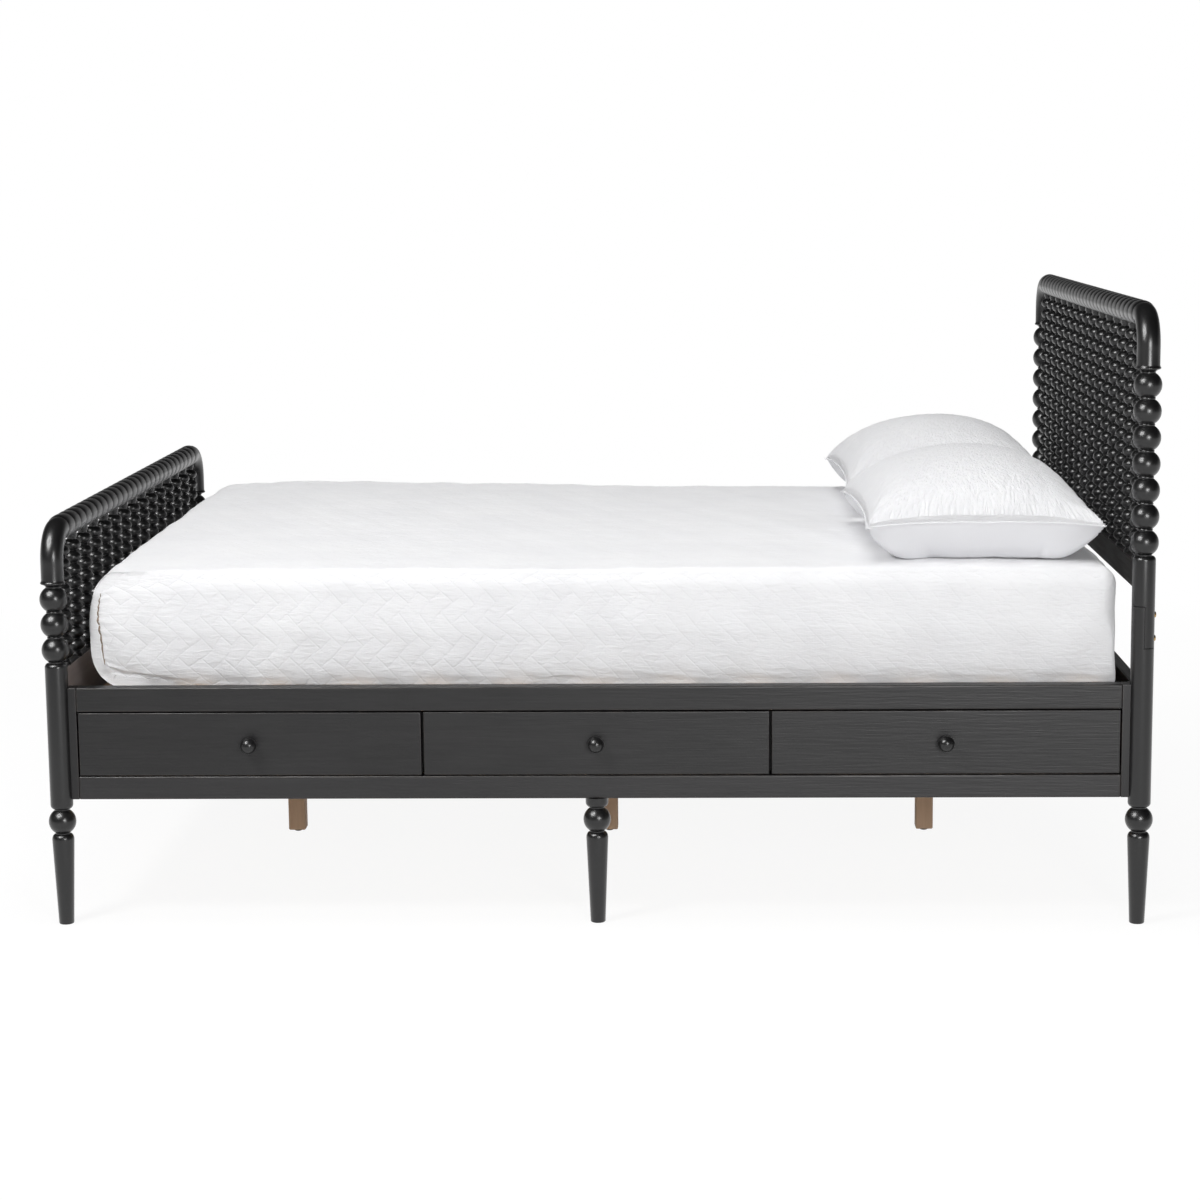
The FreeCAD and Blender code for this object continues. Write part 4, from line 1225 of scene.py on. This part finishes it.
@dataclass
class Drawer:
    """One drawer on its runner bars, with a turned knob."""

    place: str
    knob: float = 0.0150
    knob_peg: float = 0.0045
    knob_foot: tuple[Pair, ...] = ((0.0002, 0.0090), (0.0014, 0.0090), (0.0026, 0.0072),
                                   (0.0034, 0.0068))
    knob_tip: float = 0.0002
    knob_steps: int = 18
    boards: tuple[tuple[str, WoodFinish, float], ...] = (
        ("front", BLACK_ACROSS, 0.0012), ("sides", INNER_PANEL, 0.001),
        ("back", INNER_PANEL, 0.001), ("bottom", INNER_PANEL, 0.0005),
        ("runners", RUNNER_WOOD, 0.001))

    def build(self) -> None:
        """Makes every piece of the drawer."""
        body = f"drawer_{self.place}"
        for part, finish, ease in self.boards:
            eased(f"{body}_{part}", body, finish, ease)
        self.turn_knob(body)

    def turn_knob(self, body: str) -> None:
        """Turns the knob.

        Args:
            body: the drawer's body.
        """
        low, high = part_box(f"{body}_knob")
        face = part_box(f"{body}_front")[0].y
        middle = low.y + self.knob
        line = [(high.y, self.knob_peg), (face, self.knob_peg)]
        line += [(face - out, radius) for out, radius in self.knob_foot]
        start = math.asin(min(1.0, (line[-1][0] - middle) / self.knob))
        for k in range(self.knob_steps + 1):
            angle = start + (-0.5 * math.pi - start) * k / self.knob_steps
            line.append((middle + self.knob * math.sin(angle),
                         max(self.knob * math.cos(angle), self.knob_tip)))
        turned(f"{body}_knob", body, BLACK_TURNED_RAIL, line, Axis.Y,
               [((low.x + high.x) / 2, 0.0, (low.z + high.z) / 2)], flats=36)


# ---------------------------------------------------------------- soft goods


@dataclass
class Mattress:
    """The quilted mattress: a soft block with rolled edges, a sewn seam and a zip at the foot.

    A roll or rise has a radius for the lower and one for the upper edges. A fade starts and ends at
    two places along the bed, and a lump or wave has its height, its length and its seed.
    """

    foot_roll: Pair = (0.075, 0.052)
    head_roll: Pair = (0.010, 0.028)
    side_roll: Pair = (0.014, 0.030)
    foot_rise: Pair = (0.082, 0.090)
    rise: Pair = (0.014, 0.036)
    upper_share: Pair = (0.35, 0.65)
    foot_reach: Pair = (0.26, 0.03)
    end_fade: Pair = (-0.5, 0.5)
    corner_fade: Pair = (0.25, 0.685)
    near_corner_tight: float = 0.35
    far_corner_round: Pair = (0.016, 0.050)
    crown: float = 0.004
    crown_power: int = 4
    lift: float = 0.021
    lift_fade: Pair = (0.3, -0.9)
    bulge: float = 0.009
    belly_power: float = 1.4
    draw_in: float = 0.003
    puff: float = 0.0013
    puff_middle: float = 0.45
    quilt_edge: Pair = (0.012, 0.032)
    quilt_fade: Pair = (-0.4, 0.7)
    quilt_loss: float = 0.60
    quilt_warp: tuple[float, float, int, int] = (0.0030, 0.11, 21, 22)
    lumps: tuple[tuple[float, float, int], ...] = ((0.0016, 0.45, 11), (0.0010, 0.085, 12))
    hem: float = 0.0014
    hem_reach: float = 0.022
    hem_length: float = 0.0085
    hem_drift: tuple[float, float, int] = (2.0, 0.3, 5)
    seam_in: float = 0.0135
    seam_corner: float = 0.055
    seam_width: float = 0.0032
    seam_depth: float = 0.0035
    seam_foot: Pair = (0.10, 0.07)
    seam_top: float = 0.02
    seam_bottom: Pair = (0.05, 0.03)
    seam_bottom_share: float = 0.45
    foot_squeeze: float = 1.35
    pucker: tuple[float, float, int] = (0.0016, 0.021, 3)
    pucker_reach: float = 0.030
    pucker_slant: float = 0.1
    pucker_loss: float = 0.6
    zip_ends: Pair = (0.030, 0.012)
    zip_out: float = 0.0016
    zip_radius: float = 0.0024
    zip_points: int = 40
    long_steps: Place = (0.0045, 0.0075, 0.12)
    wide_steps: Place = (0.005, 0.0132, 0.045)
    tall_points: int = 44

    def __post_init__(self) -> None:
        """Takes the box of the CAD mattress."""
        self.low, self.high = (np.array(c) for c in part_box("mattress"))

    def build(self) -> None:
        """Makes the mattress and its zip."""
        points, faces = self.box_grid()
        places, quilt = self.shaped(points)
        shell = Shell()
        shell.ring(places.tolist())
        shell.faces = faces
        piece = shell.piece("sewn_mattress", crease=60.0)
        keep_vectors(piece, "quilt", quilt)
        fit(piece, "mattress", QUILT, "mattress")
        self.zip()

    def steps(self, axis: int, fine: float, wide: float, edge: float) -> np.ndarray:
        """Places along one side of the box, closer together near its ends.

        Args:
            axis: the direction.
            fine: the space near the ends.
            wide: the space between.
            edge: how far the close part reaches.

        Returns:
            The places in order.
        """
        low, high = self.low[axis], self.high[axis]
        count, middle = round(edge / fine), max(1, round((high - low - 2 * edge) / wide))
        return np.concatenate([np.linspace(low, low + edge, count, endpoint=False),
                               np.linspace(low + edge, high - edge, middle, endpoint=False),
                               np.linspace(high - edge, high, count + 1)])

    def box_grid(self) -> tuple[np.ndarray, Faces]:
        """A grid over the six sides of the box, joined along its edges.

        Returns:
            The points on the box, and the faces.
        """
        lines = [self.steps(0, *self.long_steps), self.steps(1, *self.wide_steps),
                 np.linspace(self.low[2], self.high[2], self.tall_points)]
        counts = [len(line) for line in lines]
        known: dict[tuple[int, ...], int] = {}
        faces: Faces = []
        for axis in range(3):
            first, second = (k for k in range(3) if k != axis)
            for level, a, b in product((0, counts[axis] - 1), range(counts[first] - 1),
                                       range(counts[second] - 1)):
                face = []
                for da, db in CORNERS:
                    key = {axis: level, first: a + da, second: b + db}
                    face.append(known.setdefault((key[0], key[1], key[2]), len(known)))
                faces.append(tuple(face))
        return np.array([[line[n] for line, n in zip(lines, key)] for key in known]), faces

    def shaped(self, points: np.ndarray) -> tuple[np.ndarray, np.ndarray]:
        """Turns places on the box into places on the soft, quilted mattress.

        Args:
            points: places on the box.

        Returns:
            The places on the mattress, and for each its place on the flat cover and how strongly
            it is quilted.
        """
        half, middle = (self.high - self.low) / 2, (self.low + self.high) / 2
        roll = self.rolls(points)
        inner = np.clip(points, self.low + roll, self.high - roll)
        way = (points - inner) / roll
        way /= np.linalg.norm(way, axis=1)[:, None]
        places = inner + roll * way
        normal = way / roll
        normal /= np.linalg.norm(normal, axis=1)[:, None]
        share = (points - middle) / half
        level = ramp(self.low[2], self.high[2], points[:, 2])
        flat_top = np.prod(1 - share[:, :2] ** self.crown_power, axis=1)
        places[:, 2] -= self.crown * level * (1 - flat_top)
        to_foot = smooth(*self.lift_fade, points[:, 0])
        places[:, 2] += self.lift * level * to_foot * (0.5 + 0.5 * share[:, 1])
        inward = self.bulge * np.abs(2 * level - 1) ** self.belly_power
        inward += self.draw_in * (1 - share[:, 0] ** 2)
        places[:, 1] -= np.sign(share[:, 1]) * np.abs(normal[:, 1]) * inward
        flat, amount, side = self.cover(points, share)
        relief, gather = self.relief(points, flat, amount, side)
        places += normal * relief[:, None]
        places[:, 2] = np.maximum(places[:, 2], self.low[2])
        amount *= np.clip(1 - self.pucker_loss * gather, 0, 1)
        return places, np.column_stack([flat, amount])

    def relief(self, points: np.ndarray, flat: np.ndarray, amount: np.ndarray,
               side: np.ndarray) -> tuple[np.ndarray, np.ndarray]:
        """How far the cover stands out: quilting, wavy hem, lumps, and the seam with its gathers.

        Args:
            points: places on the box.
            flat: the same on the flat cover.
            amount: the strength of the quilting.
            side: 1 on the long sides.

        Returns:
            The height, and how strongly the cover is gathered.
        """
        height = amount * self.puff * (self.puffed(flat) - self.puff_middle)
        sway, length, seed = self.hem_drift
        wave = np.sin(points[:, 0] / self.hem_length + sway * ripple(points[:, :1], length, seed))
        height += self.hem * np.exp(-(points[:, 2] - self.low[2]) / self.hem_reach) * side * wave
        for lump, length, seed in self.lumps:
            height += lump * ripple(points, length, seed)
        seam, near = self.seam_field(points, side)
        height -= self.seam_depth * np.exp(-(seam / self.seam_width) ** 2) * near
        gather = np.exp(-np.clip(seam, 0, None) / self.pucker_reach) * (seam > 0) * near
        fold, length, seed = self.pucker
        slant = points[:, 2:] + self.pucker_slant * points[:, :1]
        height += fold * gather * ripple(slant, length, seed)
        height[points[:, 2] <= self.low[2] + TINY] = 0.0
        return height, gather

    def rolls(self, points: np.ndarray) -> np.ndarray:
        """How far the edges are rolled: rounder at the foot, nearly square below at the head.

        Args:
            points: places on the box.

        Returns:
            The three radii for each place.
        """
        tall = self.high[2] - self.low[2]
        upper = smooth(*(self.low[2] + share * tall for share in self.upper_share), points[:, 2])
        foot = smooth(*(self.low[0] + reach for reach in self.foot_reach), points[:, 0])
        ends = smooth(*self.end_fade, points[:, 0])

        def between(low_high: Pair) -> np.ndarray:
            """The radius between that of the lower and that of the upper edge."""
            return low_high[0] + (low_high[1] - low_high[0]) * upper

        near, far = (foot * smooth(*self.corner_fade, sign.value * points[:, 1]) for sign in Side)
        along = between(self.foot_roll) * (1 - ends) + between(self.head_roll) * ends
        across = between(self.side_roll) * (1 - self.near_corner_tight * near)
        up = between(self.rise) * (1 - foot) + between(self.foot_rise) * foot
        more_along, more_across = self.far_corner_round
        return np.column_stack([along + more_along * far, across + more_across * far, up])

    def cover(self, points: np.ndarray, share: np.ndarray) -> tuple[np.ndarray, ...]:
        """Where a place lies on the flat cover, which runs over the top and down both long sides.

        Args:
            points: places on the box.
            share: the same, from -1 to 1 along each side.

        Returns:
            The two flat places, the strength of the quilting, and 1 on the long sides.
        """
        top = share[:, 2] > 1 - TINY
        near, far = share[:, 1] < -1 + TINY, share[:, 1] > 1 - TINY
        drop = self.high[2] - points[:, 2]
        across = np.where(far, self.high[1] - self.low[1] + drop, points[:, 1] - self.low[1])
        flat = np.column_stack([points[:, 0], np.where(near, -drop, across)])
        end_gap = np.minimum(points[:, 0] - self.low[0], self.high[0] - points[:, 0])
        amount = ramp(*self.quilt_edge, end_gap) * (top | near | far)
        amount *= 1 - self.quilt_loss * smooth(*self.quilt_fade, points[:, 0])
        warp, length, *seeds = self.quilt_warp
        flat += warp * np.column_stack([ripple(flat, length, seed) for seed in seeds])
        return flat, amount, (near | far).astype(float)

    def puffed(self, flat: np.ndarray) -> np.ndarray:
        """The height of herringbone quilting, 0 on a stitch line and 1 in the middle of a brick.

        Args:
            flat: places on the flat cover.

        Returns:
            One value for each place.
        """
        turn = 1.0 / (math.sqrt(2.0) * QUILT.brick)
        first, second = (flat[:, 0] + flat[:, 1]) * turn, (flat[:, 0] - flat[:, 1]) * turn
        kind = np.mod(np.floor(first) - np.floor(second), 4)
        a, b = first - np.floor(first), second - np.floor(second)
        sides = ((1, a), (0, 1 - a), (2, b), (3, 1 - b))
        gaps = [np.where(kind == opened, 1.0, gap) for opened, gap in sides]
        return np.sqrt(np.clip(2 * np.minimum.reduce(gaps), 0, 1))

    def seam_field(self, points: np.ndarray, side: np.ndarray) -> tuple[np.ndarray, np.ndarray]:
        """How far a place on a long side is inside the seam, which is strongest at the foot.

        Args:
            points: places on the box.
            side: 1 on the long sides.

        Returns:
            The distance, and the strength of the seam there.
        """
        radius = self.seam_corner
        gap_x = self.foot_squeeze * (points[:, 0] - self.low[0])
        gap_z = points[:, 2] - self.low[2]
        corner = radius - np.hypot(*(np.clip(radius - gap, 0, None) for gap in (gap_x, gap_z)))
        inside = np.where((gap_x < radius) & (gap_z < radius), corner, np.minimum(gap_x, gap_z))
        at_foot = ramp(*self.seam_foot, gap_x)
        at_foot *= ramp(0.0, self.seam_top, self.high[2] - points[:, 2])
        at_bottom = self.seam_bottom_share * ramp(*self.seam_bottom, gap_z)
        return inside - self.seam_in, np.maximum(at_foot, at_bottom) * side

    def zip(self) -> None:
        """Makes the zip tape that shows in the seam at the foot of the near side."""
        count = self.zip_points
        points = np.empty((count, 3))
        points[:, 0] = self.low[0] + self.seam_in / self.foot_squeeze
        points[:, 1] = self.low[1]
        bottom, top = self.low[2] + self.zip_ends[0], self.high[2] - self.zip_ends[1]
        points[:, 2] = np.linspace(top, bottom, count)
        line = [Vector(p) - Vector((0.0, self.zip_out, 0.0)) for p in self.shaped(points)[0]]
        radii = [self.zip_radius * math.sqrt(math.sin(math.pi * (k + 0.5) / count))
                 for k in range(count)]
        shell = Shell()
        shell.sweep(line, radii, Vector((1.0, 0.0, 0.0)), flats=10)
        fit(shell.piece("sewn_mattress_zip"), "mattress", ZIP_TAPE)


@dataclass
class Pillow:
    """A plump pillow: a crinkled top sewn to a plain underside, with pointed corners.

    Shares run from -1 to 1: the first from the foot to the head side, the second across the bed.
    """

    side: Side
    seam_height: float = 0.0705
    droop: float = 0.0085
    droop_power: int = 4
    bow: Pair = (0.055, 0.030)
    reach: Pair = (0.010, 0.024)
    top_gap: float = 0.004
    dome_shares: Pair = (2.1, 2.2)
    dome_foot: float = 0.54
    dome_head: float = 0.75
    dome_width: float = 0.60
    flat_under: Pair = (0.5, 0.80)
    under_foot: float = 2.4
    under_head: float = 2.2
    under_width: float = 2.6
    counts: tuple[int, int] = (76, 98)
    crowding: float = 0.3
    frames: int = 20
    pressure: float = 4.0
    spare_cloth: float = -0.035
    quality: int = 5
    mass: float = 0.15
    stiffness: float = 12.0
    shear: float = 4.0
    bending: float = 0.02
    cap: float = 0.008
    crease: tuple[float, float, int, int] = (0.0007, 0.017, 17, 9)
    crease_edge: float = 0.05
    rest_gap: float = 0.0002
    drape_scale: float = 60.0
    drape_sheet: float = 3.0
    drape_pull: float = 1.5
    drape_power: int = 6
    seam_cord: float = 0.0016

    def __post_init__(self) -> None:
        """Takes the box of the CAD pillow."""
        self.word = f"pillow_{self.side.name.lower()}"
        self.low, self.high = (np.array(c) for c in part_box(self.word))

    def build(self) -> None:
        """Makes the pillow and its seam."""
        sheet, faces, share, rim = self.grid()
        places = self.start_form(sheet, share)
        shell = Shell()
        shell.ring(places.tolist())
        shell.faces = faces
        piece = shell.piece(f"sewn_{self.word}", crease=80.0)
        places = self.inflated(piece, places)
        drape = self.drape(sheet, share)
        places = self.finished(places, sheet, share, drape)
        piece.data.vertices.foreach_set("co", places.astype(np.float32).ravel())
        keep_vectors(piece, "drape", drape)
        # The top takes the crinkled cotton; the underside takes its darker copy, which holds
        # painted shade.
        for finish in (PILLOW_COTTON, PILLOW_UNDERSIDE_PAINTED_SHADE):
            piece.data.materials.append(finish.material())
        for polygon in piece.data.polygons:
            levels = [sheet[v] for v in polygon.vertices]
            polygon.material_index = int(max(levels) <= 0 and min(levels) < 0)
        piece.data.update()
        fit(piece, self.word, PILLOW_COTTON, self.word)
        cord = Shell()
        cord.sweep([Vector(places[k]) for k in rim], [self.seam_cord] * len(rim),
                   Vector((0.0, 0.0, 1.0)), flats=8, closed=True)
        fit(cord.piece(f"sewn_{self.word}_seam"), self.word, PILLOW_COTTON)

    def grid(self) -> tuple[np.ndarray, Faces, np.ndarray, list[int]]:
        """Two sheets of quads joined at the rim, a little closer together near it.

        Returns:
            For each point +1 on top, -1 below and 0 on the rim; the faces; the shares; and the rim
            in order.
        """
        wide, long = self.counts
        sheet: list[float] = []
        share: list[Pair] = []
        number: dict[tuple[float, int, int], int] = {}
        for level, a, b in product((1.0, -1.0), range(wide + 1), range(long + 1)):
            on_rim = a in (0, wide) or b in (0, long)
            if on_rim and (1.0, a, b) in number:
                number[level, a, b] = number[1.0, a, b]
                continue
            number[level, a, b] = len(sheet)
            sheet.append(0.0 if on_rim else level)
            flat = (2 * a / wide - 1, 2 * b / long - 1)
            share.append(tuple((1 - self.crowding) * t + self.crowding * math.sin(0.5 * math.pi * t)
                               for t in flat))
        faces = [tuple(number[level, a + da, b + db] for da, db in CORNERS)
                 for level, a, b in product((1.0, -1.0), range(wide), range(long))]
        round_rim = [(a, 0) for a in range(wide)] + [(wide, b) for b in range(long)]
        round_rim += [(wide - a, long - b) for a, b in round_rim]
        return np.array(sheet), faces, np.array(share), [number[1.0, a, b] for a, b in round_rim]

    def start_form(self, sheet: np.ndarray, share: np.ndarray) -> np.ndarray:
        """The pillow before it is inflated.

        Args:
            sheet: +1 on top, -1 below, 0 on the rim.
            share: the shares of the points.

        Returns:
            The places of its points.
        """
        middle, half = (self.low + self.high) / 2, (self.high - self.low) / 2
        u, v = share.T
        x = middle[0] + half[0] * u * (1 - self.bow[0] * (1 - v ** 2))
        y = middle[1] + half[1] * v * (1 - self.bow[1] * (1 - u ** 2))
        x -= (0.5 - 0.5 * u) ** 2 * np.interp(v, (-1.0, 1.0), self.reach)
        by_length, by_width = (np.clip(1 - np.abs(t) ** power, 0, 1)
                               for t, power in zip((u, v), self.dome_shares))
        rise = by_length ** np.where(u < 0, self.dome_foot, self.dome_head)
        rise *= by_width ** self.dome_width
        rise *= self.high[2] - self.low[2] - self.seam_height - self.top_gap
        curl, tuck = (ramp(start, 1.0, np.abs(t)) for start, t in zip(self.flat_under, (u, v)))
        under = 1 - curl ** np.where(u < 0, self.under_foot, self.under_head)
        under *= 1 - tuck ** self.under_width
        seam = self.low[2] + self.seam_height - self.droop * (u * v) ** self.droop_power
        out = np.where(sheet > 0, rise, (self.low[2] - seam) * under)
        return np.column_stack([x, y, seam + out])

    def inflated(self, piece: Object, places: np.ndarray) -> np.ndarray:
        """Blows the pillow up as cloth with a little spare fabric, so that it creases at the seam.

        Args:
            piece: the pillow.
            places: the places of its points.

        Returns:
            The new places, each moved by no more than the cap.
        """
        cloth = piece.modifiers.new("cloth", "CLOTH")
        settings = cloth.settings
        settings.quality, settings.mass = self.quality, self.mass
        settings.tension_stiffness = settings.compression_stiffness = self.stiffness
        settings.shear_stiffness, settings.bending_stiffness = self.shear, self.bending
        settings.use_pressure, settings.uniform_pressure_force = True, self.pressure
        settings.effector_weights.gravity = 0.0
        settings.shrink_min = self.spare_cloth
        cloth.collision_settings.use_collision = False
        cloth.point_cache.frame_start, cloth.point_cache.frame_end = 1, self.frames
        scene = bpy.context.scene
        for number in range(1, self.frames + 1):
            scene.frame_set(number)
        grown = piece.evaluated_get(bpy.context.evaluated_depsgraph_get()).to_mesh()
        moved = np.empty(len(places) * 3, np.float32)
        grown.vertices.foreach_get("co", moved)
        piece.modifiers.remove(cloth)
        scene.frame_set(1)
        shift = moved.reshape(-1, 3) - places
        length = np.linalg.norm(shift, axis=1)
        return places + shift * (np.minimum(length, self.cap) / np.maximum(length, 1e-9))[:, None]

    def finished(self, places: np.ndarray, sheet: np.ndarray, share: np.ndarray,
                 drape: np.ndarray) -> np.ndarray:
        """Adds the larger creases and sets the pillow down.

        Args:
            places: the places of its points.
            sheet: +1 on top, -1 below, 0 on the rim.
            share: the shares of the points.
            drape: the coordinates that the creases follow.

        Returns:
            The final places.
        """
        height, length, seed, waves = self.crease
        crease = ripple(drape[:, :2] / self.drape_scale, length, seed + self.side.value, waves)
        inner = ramp(0.0, self.crease_edge, 1 - np.max(np.abs(share), axis=1))
        places = places.copy()
        places[:, 2] += height * crease * (sheet > 0) * inner
        places[:, 2] = np.maximum(places[:, 2], self.low[2] + self.rest_gap)
        return places

    def drape(self, sheet: np.ndarray, share: np.ndarray) -> np.ndarray:
        """Coordinates drawn together towards the seam, for creases that climb from it to the crown.

        Args:
            sheet: +1 on top, -1 below, 0 on the rim.
            share: the shares of the points.

        Returns:
            Three values for each point.
        """
        half, power = (self.high - self.low)[:2] / 2, self.drape_power
        pull = self.drape_pull * np.maximum(np.sum(share ** power, axis=1) ** (1 / power), TINY)
        drawn = share * half * (np.tanh(pull) / pull)[:, None]
        return np.column_stack([self.drape_scale * drawn, self.drape_sheet * sheet])


# ---------------------------------------------------------------- studio


@dataclass(frozen=True)
class Lamp:
    """A soft studio lamp, or a card that is only seen mirrored in polish."""

    name: str
    place: Place
    aim: Place
    size: float
    watts: float
    lights: bool = True
    mirrored: bool = True


@dataclass
class Studio:
    """Camera, soft lamps, pale floor and white surroundings."""

    camera_place: Place = (0.1836, -5.6173, 1.3794)
    yaw: float = -0.0355
    pitch: float = 0.1558
    roll: float = 0.0102
    lens: float = 81.08
    sensor: float = 36.0
    ambient: float = 0.30
    horizon: tuple[float, ...] = (0.05, 0.30, 1.0, 0.04)
    behind: tuple[float, ...] = (-0.1, 0.3, 0.10, 0.50)
    floor_size: float = 30.0
    lamps: tuple[Lamp, ...] = (
        Lamp("lamp_left", (-2.2, -2.6, 3.5), (-0.1, -0.2, 0.5), 0.90, 72.0, mirrored=False),
        Lamp("lamp_right", (1.3, -4.5, 1.35), (0.2, -0.2, 0.5), 1.00, 52.0, mirrored=False),
        Lamp("lamp_top", (0.1, -0.5, 4.2), (0.0, -0.2, 0.5), 2.40, 61.0, mirrored=False),
        Lamp("card_left", (-2.2, -2.6, 3.5), (-0.1, -0.2, 0.5), 2.30, 270.0, lights=False),
        Lamp("card_right", (1.4, -4.5, 1.45), (0.2, -0.2, 0.5), 1.40, 95.0, lights=False))

    def build(self) -> None:
        """Sets up everything round the bed."""
        bpy.context.scene.view_settings.view_transform = "Standard"
        self.camera()
        for lamp in self.lamps:
            self.light(lamp)
        self.world()
        self.floor()

    def camera(self) -> None:
        """Places the camera at the photograph's viewing angle."""
        data = bpy.data.cameras.new("camera")
        data.sensor_width, data.lens = self.sensor, self.lens
        level = math.cos(self.pitch)
        ahead = Vector((math.sin(self.yaw) * level, math.cos(self.yaw) * level,
                        -math.sin(self.pitch)))
        right = Vector((math.cos(self.yaw), -math.sin(self.yaw), 0.0))
        down = ahead.cross(right)
        right, down = (math.cos(self.roll) * right + math.sin(self.roll) * down,
                       math.cos(self.roll) * down - math.sin(self.roll) * right)
        turn = Matrix((right, -down, -ahead)).transposed().to_4x4()
        made = linked("camera", data)
        made.matrix_world = Matrix.Translation(self.camera_place) @ turn
        bpy.context.scene.camera = made

    def light(self, lamp: Lamp) -> None:
        """Adds one lamp.

        Args:
            lamp: the lamp.
        """
        data = bpy.data.lights.new(lamp.name, "AREA")
        data.shape, data.size, data.energy = "DISK", lamp.size, lamp.watts
        made = linked(lamp.name, data)
        made.location = lamp.place
        aim = Vector(lamp.aim) - Vector(lamp.place)
        made.rotation_euler = aim.to_track_quat("-Z", "Y").to_euler()
        made.visible_camera = False
        made.visible_diffuse, made.visible_glossy = lamp.lights, lamp.mirrored

    def world(self) -> None:
        """Surrounds the bed with a white horizon under a dim ceiling, and soft grey light."""
        world = bpy.data.worlds.new("studio")
        world.use_nodes = True
        bpy.context.scene.world = world
        nodes = Nodes(world.node_tree)
        way = nodes.parts(nodes.add("ShaderNodeTexCoord").outputs["Generated"])
        camera = nodes.add("ShaderNodeLightPath").outputs["Is Camera Ray"]
        band = nodes.calc("MULTIPLY", nodes.span(way[2], *self.horizon),
                          nodes.span(way[1], *self.behind))
        shown = nodes.mix(nodes.calc("MAXIMUM", band, camera), BLACK, WHITE)
        colour = nodes.mix(nodes.seen(), (self.ambient,) * 3, shown)
        nodes.feed(world.node_tree.nodes["Background"], {"Color": colour, "Strength": 1.0})

    def floor(self) -> None:
        """Lays the pale floor."""
        half = 0.5 * self.floor_size
        mesh = bpy.data.meshes.new("floor")
        corners = [(half * (2 * a - 1), half * (2 * b - 1), 0.0) for a, b in CORNERS]
        mesh.from_pydata(corners, [], [(0, 1, 2, 3)])
        made = linked("floor", mesh)
        mesh.materials.append(PALE_FLOOR.material())


def main() -> None:
    """Builds the bed and its studio, piece by piece."""
    logging.basicConfig(level=logging.INFO, format="%(name)s: %(message)s")
    Studio().build()
    BedEnd(End.FOOT, straight_top=0.48965, board_top=0.48265, ball_count=3, bead_count=9).build()
    BedEnd(End.HEAD, straight_top=0.67965, board_top=0.67265, ball_count=7, bead_count=17).build()
    Platform().build()
    for place in ("foot", "middle", "head"):
        Drawer(place).build()
    Mattress().build()
    for side in Side:
        Pillow(side).build()


if __name__ == "__main__":
    main()
